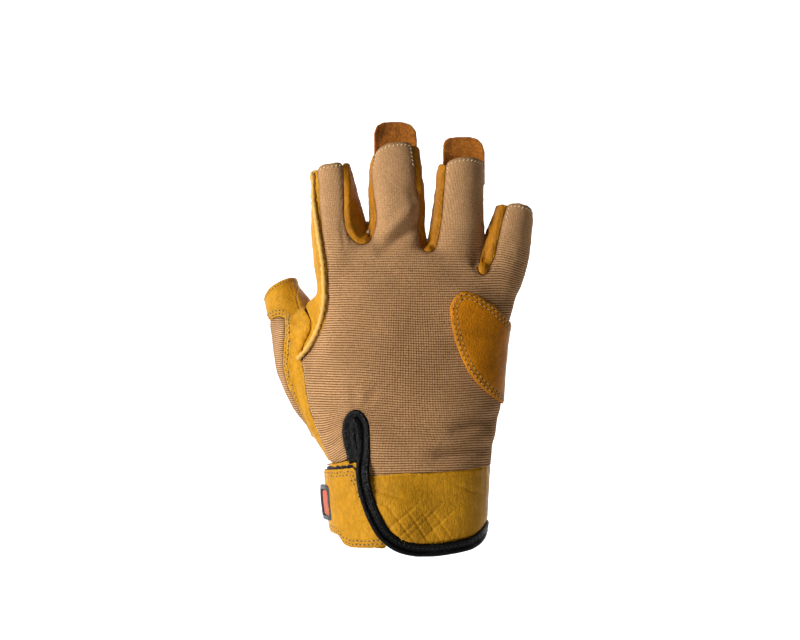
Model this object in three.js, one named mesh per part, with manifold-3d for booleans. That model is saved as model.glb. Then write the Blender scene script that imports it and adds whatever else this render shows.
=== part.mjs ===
// Right-hand fingerless climbing glove in its worn shape: leather palm, thumb and cuff, stretch cloth back
// Millimetres. +Z runs to the fingertips, -Y is the back of the hand, +X is the little-finger side
// The origin is the centre of the wrist opening, level with the lowest part of the cuff
import * as THREE from "three";
import { mergeVertices } from "three/addons/utils/BufferGeometryUtils.js";
import Module from "manifold-3d";

const wasm = await Module();
wasm.setup();

// Hand
const HAND_BREADTH = 92;
const HAND_DEPTH = 40;
const HAND_HEIGHT = 140; // from the cuff's lowest point to the finger crotches

// Fingers and thumb, each from its root inside the hand to its opening
const INDEX_LENGTH = 58.5;
const INDEX_BREADTH = 26.5;
const MIDDLE_LENGTH = 68.4;
const MIDDLE_BREADTH = 26;
const RING_LENGTH = 62.7;
const RING_BREADTH = 25;
const LITTLE_LENGTH = 39.3;
const LITTLE_BREADTH = 22;
const FINGER_DEPTH = 24;
const THUMB_LENGTH = 58.5;
const THUMB_BREADTH = 24;
const THUMB_DEPTH = 24;

// Sheets and what lies between them
const WALL = 1.6; // the leather and cloth of the hand form
const OVERLAY_WALL = 1.4; // the edge patch and the strap
const LINING_WALL = 1;
const TAB_WALL = 1.4;
const CLEARANCE = 0.3;
const CRUMB_VOLUME = 8; // cubic millimetres

// Binding, welt and badge
const BINDING_WIDTH = 5.6;
const BINDING_THICKNESS = 3;
const WELT_WIDTH = 2;
const BADGE_HEIGHT = 16.5;
const BADGE_LENGTH = 15;
const BADGE_RIM = 2.2;
const BADGE_THICKNESS = 1.8;
const BADGE_FACE_THICKNESS = 1.1;

// How boxy the hand's and the fingers' sections are, 2 being an ellipse
const HAND_SQUARENESS = 2.5;
const FINGER_SQUARENESS = 2.2;
const WEB_BLEND = 4; // how softly the ball of the thumb runs into the hand

// Facets: points round a section, and the longest step up the hand as a share of its height
const HAND_SEGMENTS = 40;
const FINGER_SEGMENTS = 16;
const HAND_STEP = 0.065;
const PALM_SHARE = 0.42; // the share of a hand section's points on its palm side

// The strap stands off the cuff by the lining, and the flap's free edge lies over the strap
const STRAP_INSIDE = CLEARANCE + LINING_WALL + CLEARANCE;
const STRAP_OUTSIDE = STRAP_INSIDE + OVERLAY_WALL;
const FLAP_LIFT = STRAP_OUTSIDE + CLEARANCE + WALL;
const BINDING_LIFT = STRAP_OUTSIDE + CLEARANCE + BINDING_THICKNESS / 2;

// Sections up the hand. Across and widths are shares of HAND_BREADTH, forward and depths of HAND_DEPTH,
// along of HAND_HEIGHT. The heel columns are the ball of the thumb, which joins the hand's own section
const HAND_ROWS = [
  {
    along: -0.03, across: 0.021, forward: 0, half_width: 0.35, half_depth: 0.588,
    heel_across: -0.19, heel_forward: 0.15, heel_width: 0.13, heel_depth: 0.32,
  },
  {
    along: 0.055, across: 0.025, forward: 0, half_width: 0.372, half_depth: 0.6,
    heel_across: -0.19, heel_forward: 0.15, heel_width: 0.13, heel_depth: 0.32,
  },
  {
    along: 0.175, across: 0.016, forward: 0, half_width: 0.392, half_depth: 0.6,
    heel_across: -0.184, heel_forward: 0.15, heel_width: 0.141, heel_depth: 0.34,
  },
  {
    along: 0.295, across: 0.016, forward: -0.013, half_width: 0.404, half_depth: 0.58,
    heel_across: -0.19, heel_forward: 0.15, heel_width: 0.15, heel_depth: 0.36,
  },
  {
    along: 0.349, across: 0.013, forward: -0.02, half_width: 0.417, half_depth: 0.557,
    heel_across: -0.255, heel_forward: 0.2, heel_width: 0.18, heel_depth: 0.4,
  },
  {
    along: 0.429, across: 0.008, forward: -0.03, half_width: 0.447, half_depth: 0.52,
    heel_across: -0.346, heel_forward: 0.25, heel_width: 0.192, heel_depth: 0.45,
  },
  {
    along: 0.482, across: 0.011, forward: -0.037, half_width: 0.464, half_depth: 0.495,
    heel_across: -0.403, heel_forward: 0.3, heel_width: 0.199, heel_depth: 0.438,
  },
  {
    along: 0.536, across: 0.009, forward: -0.045, half_width: 0.468, half_depth: 0.475,
    heel_across: -0.455, heel_forward: 0.35, heel_width: 0.195, heel_depth: 0.425,
  },
  {
    along: 0.589, across: 0.012, forward: -0.05, half_width: 0.471, half_depth: 0.463,
    heel_across: -0.488, heel_forward: 0.4, heel_width: 0.185, heel_depth: 0.412,
  },
  {
    along: 0.642, across: 0.017, forward: -0.05, half_width: 0.473, half_depth: 0.45,
    heel_across: -0.518, heel_forward: 0.43, heel_width: 0.172, heel_depth: 0.42,
  },
  {
    along: 0.696, across: 0.022, forward: -0.05, half_width: 0.476, half_depth: 0.438,
    heel_across: -0.543, heel_forward: 0.46, heel_width: 0.16, heel_depth: 0.42,
  },
  {
    along: 0.749, across: 0.031, forward: -0.05, half_width: 0.48, half_depth: 0.428,
    heel_across: -0.555, heel_forward: 0.48, heel_width: 0.143, heel_depth: 0.4,
  },
  {
    along: 0.782, across: 0.039, forward: -0.05, half_width: 0.483, half_depth: 0.422,
    heel_across: -0.53, heel_forward: 0.44, heel_width: 0.125, heel_depth: 0.36,
  },
  {
    along: 0.815, across: 0.05, forward: -0.05, half_width: 0.49, half_depth: 0.412,
    heel_across: -0.465, heel_forward: 0.34, heel_width: 0.09, heel_depth: 0.28,
  },
  {
    along: 0.869, across: 0.058, forward: -0.05, half_width: 0.5, half_depth: 0.4,
    heel_across: -0.372, heel_forward: 0.18, heel_width: 0.055, heel_depth: 0.18,
  },
  {
    along: 0.922, across: 0.061, forward: -0.05, half_width: 0.522, half_depth: 0.375,
    heel_across: -0.353, heel_forward: 0.06, heel_width: 0.045, heel_depth: 0.13,
  },
  {
    along: 0.989, across: 0.069, forward: -0.05, half_width: 0.54, half_depth: 0.33,
    heel_across: -0.353, heel_forward: 0, heel_width: 0.043, heel_depth: 0.12,
  },
  {
    along: 1.07, across: 0.073, forward: -0.037, half_width: 0.553, half_depth: 0.263,
    heel_across: -0.353, heel_forward: 0, heel_width: 0.043, heel_depth: 0.12,
  },
];

// Sections along each finger and the thumb. Across is a share of HAND_BREADTH, forward of HAND_DEPTH, and the
// widths and depths are shares of the finger's own. Tilt, in degrees, raises the section's little-finger side
const INDEX_ROWS = [
  { along: 0, across: -0.319, forward: 0, half_width: 0.493, half_depth: 0.542, tilt: 0 },
  { along: 0.223, across: -0.334, forward: -0.037, half_width: 0.515, half_depth: 0.521, tilt: 0 },
  { along: 0.462, across: -0.349, forward: -0.037, half_width: 0.515, half_depth: 0.5, tilt: 0 },
  { along: 0.654, across: -0.365, forward: -0.013, half_width: 0.451, half_depth: 0.471, tilt: 3 },
  { along: 0.831, across: -0.378, forward: 0.013, half_width: 0.39, half_depth: 0.45, tilt: 6 },
  { along: 1, across: -0.393, forward: 0.05, half_width: 0.335, half_depth: 0.429, tilt: 9 },
];
const MIDDLE_ROWS = [
  { along: 0, across: -0.05, forward: 0, half_width: 0.539, half_depth: 0.542, tilt: 0 },
  { along: 0.231, across: -0.05, forward: -0.05, half_width: 0.511, half_depth: 0.521, tilt: 0 },
  { along: 0.395, across: -0.052, forward: -0.05, half_width: 0.496, half_depth: 0.5, tilt: 0 },
  { along: 0.614, across: -0.056, forward: -0.025, half_width: 0.512, half_depth: 0.487, tilt: 0 },
  { along: 0.793, across: -0.068, forward: 0.013, half_width: 0.494, half_depth: 0.467, tilt: 0 },
  { along: 0.917, across: -0.064, forward: 0.05, half_width: 0.463, half_depth: 0.45, tilt: 0 },
  { along: 1, across: -0.055, forward: 0.075, half_width: 0.414, half_depth: 0.433, tilt: 0 },
];
const RING_ROWS = [
  { along: 0, across: 0.239, forward: 0, half_width: 0.542, half_depth: 0.557, tilt: 0 },
  { along: 0.238, across: 0.246, forward: -0.045, half_width: 0.532, half_depth: 0.535, tilt: 0 },
  { along: 0.446, across: 0.248, forward: -0.037, half_width: 0.518, half_depth: 0.513, tilt: 0 },
  { along: 0.685, across: 0.261, forward: -0.013, half_width: 0.471, half_depth: 0.496, tilt: 0 },
  { along: 0.865, across: 0.266, forward: 0.025, half_width: 0.453, half_depth: 0.478, tilt: -1 },
  { along: 1, across: 0.271, forward: 0.055, half_width: 0.435, half_depth: 0.461, tilt: -2 },
];
const LITTLE_ROWS = [
  { along: 0, across: 0.442, forward: 0, half_width: 0.531, half_depth: 0.545, tilt: 0 },
  { along: 0.309, across: 0.477, forward: -0.025, half_width: 0.551, half_depth: 0.523, tilt: -3 },
  { along: 0.618, across: 0.509, forward: -0.013, half_width: 0.504, half_depth: 0.482, tilt: -6 },
  { along: 0.833, across: 0.531, forward: 0.013, half_width: 0.457, half_depth: 0.459, tilt: -9 },
  { along: 1, across: 0.546, forward: 0.025, half_width: 0.409, half_depth: 0.445, tilt: -11 },
];
const THUMB_ROWS = [
  { along: 0, across: -0.393, forward: 0.275, half_width: 0.67, half_depth: 0.62, tilt: 0 },
  { along: 0.272, across: -0.483, forward: 0.412, half_width: 0.7, half_depth: 0.62, tilt: 0 },
  { along: 0.481, across: -0.529, forward: 0.562, half_width: 0.633, half_depth: 0.583, tilt: 7 },
  { along: 0.676, across: -0.573, forward: 0.713, half_width: 0.542, half_depth: 0.533, tilt: 15 },
  { along: 0.847, across: -0.619, forward: 0.825, half_width: 0.458, half_depth: 0.483, tilt: 24 },
  { along: 1, across: -0.663, forward: 0.925, half_width: 0.388, half_depth: 0.438, tilt: 31 },
];

// Each limb: its sections, the share of HAND_HEIGHT where it starts, and its own sizes
const LIMBS = {
  hand: { rows: HAND_ROWS, root: 0, length: HAND_HEIGHT, breadth: HAND_BREADTH, depth: HAND_DEPTH },
  index: { rows: INDEX_ROWS, root: 0.876, length: INDEX_LENGTH, breadth: INDEX_BREADTH, depth: FINGER_DEPTH },
  middle: {
    rows: MIDDLE_ROWS,
    root: 0.876,
    length: MIDDLE_LENGTH,
    breadth: MIDDLE_BREADTH,
    depth: FINGER_DEPTH,
  },
  ring: { rows: RING_ROWS, root: 0.869, length: RING_LENGTH, breadth: RING_BREADTH, depth: FINGER_DEPTH },
  little: {
    rows: LITTLE_ROWS,
    root: 0.869,
    length: LITTLE_LENGTH,
    breadth: LITTLE_BREADTH,
    depth: FINGER_DEPTH,
  },
  thumb: { rows: THUMB_ROWS, root: 0.459, length: THUMB_LENGTH, breadth: THUMB_BREADTH, depth: THUMB_DEPTH },
};

// Folds and dents of the cloth over the back of the hand. They run from one front-view point of a limb to
// another. Width and depth are shares of HAND_DEPTH, and a negative depth is a hollow
const FOLDS = [
  { limb: "hand", side: -0.692, along: 0.513, to_side: -1.028, to_along: 0.421, width: 0.09, depth: -0.024 },
  { limb: "hand", side: -0.452, along: 0.486, to_side: -0.107, to_along: 0.447, width: 0.09, depth: -0.024 },
  { limb: "hand", side: 0.355, along: 0.33, to_side: 0.955, to_along: 0.42, width: 0.1, depth: -0.034 },
  { limb: "hand", side: -0.43, along: 0.335, to_side: 0.9, to_along: 0.352, width: 0.12, depth: 0.026 },
  { limb: "hand", side: -1.0, along: 0.7, to_side: -1.1, to_along: 0.6, width: 0.1, depth: -0.03 },
  { limb: "middle", side: -0.493, along: 0.337, to_side: 0.693, to_along: 0.52, width: 0.07, depth: -0.028 },
  { limb: "ring", side: -0.6, along: 0.36, to_side: 0.8, to_along: 0.4, width: 0.1, depth: -0.02 },
  { limb: "little", side: -0.4, along: 0.45, to_side: 0.9, to_along: 0.3, width: 0.1, depth: -0.02 },
];

// Height of the cuff's edge round the wrist, at the middle of the binding where there is one. The angle, in
// degrees, is 0 at the little-finger side and -90 at the back of the hand; along is a share of HAND_HEIGHT
const RIM_ROWS = [
  { angle: -180, along: 0.04 },
  { angle: -140, along: 0.033 },
  { angle: -110, along: 0.025 },
  { angle: -75, along: 0.019 },
  { angle: -52, along: 0.025 },
  { angle: -29, along: 0.042 },
  { angle: -8, along: 0.078 },
  { angle: 20, along: 0.088 },
  { angle: 60, along: 0.07 },
  { angle: 100, along: 0.06 },
  { angle: 140, along: 0.05 },
  { angle: 180, along: 0.04 },
];
const BINDING_LAST_ANGLE = 108;

// Seams in the front view. Side is a share of the limb's half width from its middle, along of its length
const THUMB_SIDE_SEAM = [
  { limb: "hand", side: -0.993, along: 0.301 },
  { limb: "hand", side: -1.034, along: 0.324 },
  { limb: "hand", side: -1.062, along: 0.371 },
  { limb: "hand", side: -1.073, along: 0.425 },
  { limb: "hand", side: -1.099, along: 0.491 },
  { limb: "hand", side: -1.131, along: 0.548 },
  { limb: "hand", side: -1.154, along: 0.608 },
  { limb: "hand", side: -1.19, along: 0.642 },
];
const WEB_SEAM = [
  { limb: "hand", side: -1.149, along: 0.656 },
  { limb: "hand", side: -1.081, along: 0.679 },
  { limb: "hand", side: -0.994, along: 0.726 },
  { limb: "hand", side: -0.946, along: 0.775 },
  { limb: "hand", side: -0.928, along: 0.832 },
  { limb: "hand", side: -0.908, along: 0.902 },
  { limb: "hand", side: -0.887, along: 0.968 },
];
const INDEX_OUTER_SEAM = [
  { limb: "index", side: -0.556, along: 0.355 },
  { limb: "index", side: -0.577, along: 0.507 },
  { limb: "index", side: -0.601, along: 0.622 },
  { limb: "index", side: -0.671, along: 0.73 },
  { limb: "index", side: -0.66, along: 0.844 },
  { limb: "index", side: -0.74, along: 0.975 },
];
const INDEX_HEM = [
  { limb: "index", side: -0.371, along: 0.998 },
  { limb: "index", side: 0.086, along: 1.001 },
  { limb: "index", side: 0.654, along: 0.995 },
];
const INDEX_INNER_SEAM = [
  { limb: "index", side: 0.551, along: 0.874 },
  { limb: "index", side: 0.368, along: 0.713 },
  { limb: "index", side: 0.261, along: 0.577 },
  { limb: "index", side: 0.247, along: 0.478 },
  { limb: "index", side: 0.333, along: 0.426 },
];
const FIRST_CROTCH = [
  { limb: "hand", side: -0.621, along: 1.034 },
  { limb: "hand", side: -0.577, along: 1.023 },
  { limb: "hand", side: -0.532, along: 1.023 },
  { limb: "hand", side: -0.484, along: 1.033 },
];
const MIDDLE_OUTER_SEAM = [
  { limb: "middle", side: -0.923, along: 0.351 },
  { limb: "middle", side: -0.792, along: 0.419 },
  { limb: "middle", side: -0.744, along: 0.494 },
  { limb: "middle", side: -0.760, along: 0.555 },
  { limb: "middle", side: -0.829, along: 0.691 },
  { limb: "middle", side: -0.856, along: 0.806 },
  { limb: "middle", side: -0.815, along: 0.914 },
];
const MIDDLE_HEM = [
  { limb: "middle", side: -0.713, along: 0.949 },
  { limb: "middle", side: -0.49, along: 0.983 },
  { limb: "middle", side: -0.09, along: 1.002 },
  { limb: "middle", side: 0.342, along: 1.004 },
  { limb: "middle", side: 0.646, along: 0.993 },
];
const MIDDLE_INNER_SEAM = [
  { limb: "middle", side: 0.768, along: 0.867 },
  { limb: "middle", side: 0.738, along: 0.691 },
  { limb: "middle", side: 0.806, along: 0.609 },
  { limb: "middle", side: 0.838, along: 0.487 },
  { limb: "middle", side: 0.852, along: 0.372 },
];
const SECOND_CROTCH = [
  { limb: "hand", side: 0.001, along: 1.018 },
  { limb: "hand", side: 0.051, along: 0.996 },
  { limb: "hand", side: 0.109, along: 1.003 },
  { limb: "hand", side: 0.142, along: 1.034 },
];
const RING_OUTER_SEAM = [
  { limb: "ring", side: -0.602, along: 0.476 },
  { limb: "ring", side: -0.626, along: 0.614 },
  { limb: "ring", side: -0.647, along: 0.752 },
  { limb: "ring", side: -0.649, along: 0.946 },
];
const RING_HEM = [
  { limb: "ring", side: -0.399, along: 0.974 },
  { limb: "ring", side: 0.017, along: 0.996 },
  { limb: "ring", side: 0.444, along: 0.997 },
  { limb: "ring", side: 0.786, along: 0.984 },
  { limb: "ring", side: 1.125, along: 0.967 },
];
const RING_INNER_SEAM = [
  { limb: "ring", side: 1.115, along: 0.422 },
  { limb: "ring", side: 0.932, along: 0.363 },
];
const THIRD_CROTCH = [
  { limb: "hand", side: 0.506, along: 0.996 },
  { limb: "hand", side: 0.504, along: 0.959 },
  { limb: "hand", side: 0.552, along: 0.931 },
  { limb: "hand", side: 0.615, along: 0.911 },
  { limb: "hand", side: 0.643, along: 0.924 },
  { limb: "hand", side: 0.663, along: 0.954 },
];
const LITTLE_OUTER_SEAM = [
  { limb: "little", side: -0.359, along: 0.399 },
  { limb: "little", side: -0.399, along: 0.531 },
  { limb: "little", side: -0.451, along: 0.692 },
  { limb: "little", side: -0.505, along: 0.851 },
  { limb: "little", side: -0.474, along: 1.025 },
];
const LITTLE_HEM = [
  { limb: "little", side: -0.073, along: 1.046 },
  { limb: "little", side: 0.499, along: 1.045 },
  { limb: "little", side: 0.783, along: 1.015 },
  { limb: "little", side: 1.158, along: 0.959 },
];
const OUTER_SIDE = [
  { limb: "hand", side: 1.146, along: 1.042 },
  { limb: "hand", side: 1.239, along: 0.842 },
  { limb: "hand", side: 1.289, along: 0.575 },
  { limb: "hand", side: 1.303, along: 0.375 },
  { limb: "hand", side: 1.137, along: 0.295 },
];
const FLAP_SEAM = [
  { limb: "hand", side: 0.978, along: 0.297 },
  { limb: "hand", side: 0.705, along: 0.285 },
  { limb: "hand", side: 0.268, along: 0.278 },
  { limb: "hand", side: -0.169, along: 0.271 },
  { limb: "hand", side: -0.521, along: 0.263 },
];
const SLIT = [
  { limb: "hand", side: -0.607, along: 0.284 },
  { limb: "hand", side: -0.55, along: 0.356 },
  { limb: "hand", side: -0.525, along: 0.396 },
  { limb: "hand", side: -0.524, along: 0.432 },
  { limb: "hand", side: -0.548, along: 0.455 },
  { limb: "hand", side: -0.589, along: 0.464 },
  { limb: "hand", side: -0.635, along: 0.455 },
  { limb: "hand", side: -0.685, along: 0.432 },
  { limb: "hand", side: -0.716, along: 0.396 },
  { limb: "hand", side: -0.722, along: 0.356 },
  { limb: "hand", side: -0.714, along: 0.324 },
];
const BACK_HEM = [
  { limb: "hand", side: -0.749, along: 0.323 },
  { limb: "hand", side: -0.825, along: 0.311 },
  { limb: "hand", side: -0.903, along: 0.306 },
];
const BINDING_PATH = [
  { limb: "hand", side: -0.697, along: 0.308, lift: 0.1 },
  { limb: "hand", side: -0.717, along: 0.35, lift: 0.05 },
  { limb: "hand", side: -0.714, along: 0.393, lift: 0 },
  { limb: "hand", side: -0.685, along: 0.429, lift: 0 },
  { limb: "hand", side: -0.642, along: 0.452, lift: 0 },
  { limb: "hand", side: -0.589, along: 0.462, lift: 0 },
  { limb: "hand", side: -0.542, along: 0.452, lift: 0 },
  { limb: "hand", side: -0.517, along: 0.429, lift: 0 },
  { limb: "hand", side: -0.526, along: 0.39, lift: 0 },
  { limb: "hand", side: -0.553, along: 0.35, lift: 0.05 },
  { limb: "hand", side: -0.593, along: 0.314, lift: 0.2 },
  { limb: "hand", side: -0.614, along: 0.275, lift: 0.66 },
  { limb: "hand", side: -0.596, along: 0.229, lift: 0.98 },
  { limb: "hand", side: -0.556, along: 0.18, lift: 1 },
  { limb: "hand", side: -0.494, along: 0.128, lift: 1 },
  { limb: "hand", side: -0.391, along: 0.076, lift: 1 },
  { limb: "hand", side: -0.214, along: 0.04, lift: 0.8 },
  { limb: "hand", side: 0.006, along: 0.023, lift: 0.36 },
];
const PATCH_TOP = [
  { limb: "hand", side: 0.34, along: 0.832 },
  { limb: "hand", side: 0.363, along: 0.852 },
  { limb: "hand", side: 0.428, along: 0.865 },
  { limb: "hand", side: 0.509, along: 0.863 },
  { limb: "hand", side: 0.617, along: 0.848 },
  { limb: "hand", side: 0.728, along: 0.828 },
  { limb: "hand", side: 0.857, along: 0.799 },
  { limb: "hand", side: 1.019, along: 0.759 },
  { limb: "hand", side: 1.241, along: 0.693 },
];
const PATCH_LOW = [
  { limb: "hand", side: 1.333, along: 0.445 },
  { limb: "hand", side: 1.021, along: 0.494 },
  { limb: "hand", side: 0.871, along: 0.529 },
  { limb: "hand", side: 0.725, along: 0.567 },
  { limb: "hand", side: 0.609, along: 0.61 },
  { limb: "hand", side: 0.522, along: 0.66 },
  { limb: "hand", side: 0.45, along: 0.709 },
  { limb: "hand", side: 0.381, along: 0.769 },
  { limb: "hand", side: 0.338, along: 0.809 },
];
const INSERT_OUTLINE = [
  { limb: "thumb", side: -1.275, along: 0.763 },
  { limb: "thumb", side: -0.869, along: 0.826 },
  { limb: "thumb", side: -0.46, along: 0.824 },
  { limb: "thumb", side: -0.299, along: 0.791 },
  { limb: "thumb", side: -0.36, along: 0.715 },
  { limb: "thumb", side: -0.566, along: 0.58 },
  { limb: "thumb", side: -0.752, along: 0.407 },
  { limb: "thumb", side: -0.819, along: 0.228 },
  { limb: "thumb", side: -0.888, along: 0.011 },
  { limb: "thumb", side: -0.913, along: -0.135 },
  { limb: "thumb", side: -1.633, along: -0.217 },
  { limb: "thumb", side: -1.968, along: 0.104 },
];
const THUMB_RIDGE = [
  { limb: "thumb", side: 1.277, along: 1.061 },
  { limb: "thumb", side: 1.004, along: 0.994 },
  { limb: "thumb", side: 0.771, along: 0.846 },
  { limb: "thumb", side: 0.653, along: 0.701 },
];
const WEB_SLIT = [
  { limb: "thumb", side: 0.557, along: 0.663 },
  { limb: "thumb", side: 0.054, along: 0.555 },
  { limb: "thumb", side: -0.162, along: 0.464 },
];
const STRAP_OUTLINE = [
  { limb: "hand", side: -1.257, along: 0.275 },
  { limb: "hand", side: -1.063, along: 0.277 },
  { limb: "hand", side: -0.882, along: 0.284 },
  { limb: "hand", side: -0.720, along: 0.290 },
  { limb: "hand", side: -0.649, along: 0.275 },
  { limb: "hand", side: -0.604, along: 0.242 },
  { limb: "hand", side: -0.520, along: 0.192 },
  { limb: "hand", side: -0.395, along: 0.176 },
  { limb: "hand", side: -0.243, along: 0.163 },
  { limb: "hand", side: -0.209, along: 0.051 },
  { limb: "hand", side: -0.423, along: 0.037 },
  { limb: "hand", side: -0.577, along: 0.030 },
  { limb: "hand", side: -0.839, along: 0.029 },
  { limb: "hand", side: -0.947, along: 0.039 },
  { limb: "hand", side: -1.005, along: 0.067 },
  { limb: "hand", side: -1.295, along: 0.084 },
];
const STRAP_PALM_OUTLINE = [
  { limb: "hand", side: -1.257, along: 0.275 },
  { limb: "hand", side: -0.9, along: 0.275 },
  { limb: "hand", side: -0.45, along: 0.262 },
  { limb: "hand", side: -0.2, along: 0.245 },
  { limb: "hand", side: -0.13, along: 0.215 },
  { limb: "hand", side: -0.13, along: 0.15 },
  { limb: "hand", side: -0.2, along: 0.115 },
  { limb: "hand", side: -0.45, along: 0.092 },
  { limb: "hand", side: -0.95, along: 0.07 },
  { limb: "hand", side: -1.295, along: 0.084 },
];
const WELT_HAND = [
  { limb: "hand", side: -1.223, along: 0.641 },
  { limb: "hand", side: -1.176, along: 0.656 },
  { limb: "hand", side: -1.103, along: 0.682 },
  { limb: "hand", side: -1.021, along: 0.727 },
  { limb: "hand", side: -0.972, along: 0.777 },
  { limb: "hand", side: -0.954, along: 0.832 },
  { limb: "hand", side: -0.932, along: 0.902 },
  { limb: "hand", side: -0.919, along: 0.968 },
];
const WELT_INDEX = [
  { limb: "index", side: -0.657, along: 0.378 },
  { limb: "index", side: -0.695, along: 0.507 },
  { limb: "index", side: -0.749, along: 0.624 },
  { limb: "index", side: -0.837, along: 0.732 },
  { limb: "index", side: -0.847, along: 0.872 },
  { limb: "index", side: -0.92, along: 0.975 },
];
const WEB_TOP = [
  { limb: "hand", side: -1.150, along: 1.030 },
  { limb: "hand", side: -0.562, along: 1.030 },
  { limb: "hand", side: -0.507, along: 1.045 },
  { limb: "hand", side: -0.453, along: 1.045 },
  { limb: "hand", side: -0.381, along: 1.020 },
  { limb: "hand", side: 0.019, along: 1.007 },
  { limb: "hand", side: 0.072, along: 1.019 },
  { limb: "hand", side: 0.128, along: 1.007 },
  { limb: "hand", side: 0.532, along: 0.954 },
  { limb: "hand", side: 1.184, along: 0.954 },
];
const MIDDLE_TAB_OUTLINE = [
  { limb: "middle", side: -0.734, along: 0.794 },
  { limb: "middle", side: -1.206, along: 1.083 },
  { limb: "middle", side: -1.229, along: 1.131 },
  { limb: "middle", side: -0.979, along: 1.156 },
  { limb: "middle", side: -0.484, along: 1.162 },
  { limb: "middle", side: 0.144, along: 1.16 },
  { limb: "middle", side: 0.599, along: 1.141 },
  { limb: "middle", side: 0.836, along: 1.097 },
  { limb: "middle", side: 0.86, along: 1.035 },
  { limb: "middle", side: 0.787, along: 0.794 },
];
const RING_TAB_OUTLINE = [
  { limb: "ring", side: -0.656, along: 0.804 },
  { limb: "ring", side: -0.804, along: 1.099 },
  { limb: "ring", side: -0.735, along: 1.137 },
  { limb: "ring", side: -0.543, along: 1.158 },
  { limb: "ring", side: -0.181, along: 1.167 },
  { limb: "ring", side: 0.366, along: 1.172 },
  { limb: "ring", side: 0.688, along: 1.161 },
  { limb: "ring", side: 0.917, along: 1.125 },
  { limb: "ring", side: 1.02, along: 1.068 },
  { limb: "ring", side: 1.019, along: 0.807 },
];
const BADGE_PLACE = { along: 0.169, forward: -0.08 };

// The halves of the form that the prisms of the seams cut: everything nearer the back than these lines, which
// run up the side of the hand. Along is a share of HAND_HEIGHT, forward of HAND_DEPTH
const BACK_SIDE = [
  { along: -0.2, forward: 0.05 },
  { along: 0.25, forward: 0.05 },
  { along: 0.42, forward: 0.12 },
  { along: 0.7, forward: 0.12 },
  { along: 0.82, forward: 0.04 },
  { along: 1.05, forward: -0.02 },
  { along: 1.25, forward: 0.03 },
  { along: 1.6, forward: 0.1 },
];
const THUMB_BACK_SIDE = [
  { along: -0.2, forward: 0.1 },
  { along: 0.3, forward: 0.25 },
  { along: 0.46, forward: 0.38 },
  { along: 0.58, forward: 0.5 },
  { along: 0.66, forward: 0.62 },
  { along: 0.74, forward: 0.78 },
  { along: 0.82, forward: 0.9 },
  { along: 1.05, forward: 1.15 },
];
const INSERT_SHARE_PAST = 0.1; // how far the insert wraps past the thumb's back side
const THUMB_FRONT_FROM = 0.47; // where the thumb's palm-side leather starts, from the back
const PATCH_SHARE_PAST = 0.2; // how far the edge patch wraps past the hand's back side
const CUFF_TOP = 0.34; // where the flap, the strap and its lining stop, as a share of HAND_HEIGHT

// Section of the binding and the welt, as shares of their width and thickness
const STRIP_PROFILE = [
  { across: 0.5, up: -0.2 },
  { across: 0.5, up: 0.2 },
  { across: 0.34, up: 0.5 },
  { across: -0.34, up: 0.5 },
  { across: -0.5, up: 0.2 },
  { across: -0.5, up: -0.2 },
  { across: -0.34, up: -0.5 },
  { across: 0.34, up: -0.5 },
];

// Angles round the wrist, in degrees, through which the binding runs on from the flap's edge
const RIM_ANGLES = [-75, -63, -51, -40, -30, -20, -10, 2, 15, 30, 45, 60, 76, 92, BINDING_LAST_ANGLE];

// What each finger's opening cuts away: past its hem, between shares of the finger's length at both sides
const OPENINGS = [
  { limb: "index", first: 0.955, hem: [INDEX_OUTER_SEAM.at(-1), ...INDEX_HEM], last: 0.965 },
  { limb: "middle", first: 0.86, hem: [MIDDLE_OUTER_SEAM.at(-1), ...MIDDLE_HEM], last: 0.93 },
  { limb: "ring", first: 0.925, hem: [RING_OUTER_SEAM.at(-1), ...RING_HEM.slice(0, 4)], last: 0.955 },
  { limb: "little", first: 0.96, hem: LITTLE_HEM.slice(0, 3), last: 0.95 },
];

// A table's row at any place between its rows, on a smooth curve through them and straight past its ends
function rowAt(rows, key, place) {
  let i = 0;
  while (i < rows.length - 2 && rows[i + 1][key] < place) i++;
  const from = rows[i];
  const to = rows[i + 1];
  const before = rows[Math.max(0, i - 1)];
  const after = rows[Math.min(rows.length - 1, i + 2)];
  const span = to[key] - from[key];
  const t = (place - from[key]) / span;
  const row = {};
  for (const column of Object.keys(from)) {
    const leave = ((to[column] - before[column]) / (to[key] - before[key])) * span;
    const arrive = ((after[column] - from[column]) / (after[key] - from[key])) * span;
    if (t < 0) row[column] = from[column] + leave * t;
    else if (t > 1) row[column] = to[column] + arrive * (t - 1);
    else
      row[column] =
        (2 * t ** 3 - 3 * t ** 2 + 1) * from[column] +
        (t ** 3 - 2 * t ** 2 + t) * leave +
        (3 * t ** 2 - 2 * t ** 3) * to[column] +
        (t ** 3 - t ** 2) * arrive;
  }
  return row;
}

// A limb's section in millimetres at a share of its length
function section(limb, along) {
  const row = rowAt(limb.rows, "along", along);
  return {
    x: row.across * HAND_BREADTH,
    y: row.forward * HAND_DEPTH,
    z: limb.root * HAND_HEIGHT + along * limb.length,
    halfWidth: row.half_width * limb.breadth,
    halfDepth: row.half_depth * limb.depth,
    tilt: THREE.MathUtils.degToRad(row.tilt ?? 0),
    heelX: row.heel_across * HAND_BREADTH,
    heelY: row.heel_forward * HAND_DEPTH,
    heelWidth: row.heel_width * HAND_BREADTH,
    heelDepth: row.heel_depth * HAND_DEPTH,
  };
}

// A seam table's row as a point of the front view, x across and y up
function frontPoint({ limb, side, along }) {
  const s = section(LIMBS[limb], along);
  const reach = side * s.halfWidth;
  return new THREE.Vector2(s.x + reach * Math.cos(s.tilt), s.z + reach * Math.sin(s.tilt));
}

// A smooth front-view line through a seam table's points
function seamLine(table, stepsEach = 1) {
  const points = table.map(frontPoint);
  if (points.length < 3) return points;
  return new THREE.SplineCurve(points).getPoints((points.length - 1) * stepsEach);
}

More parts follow.
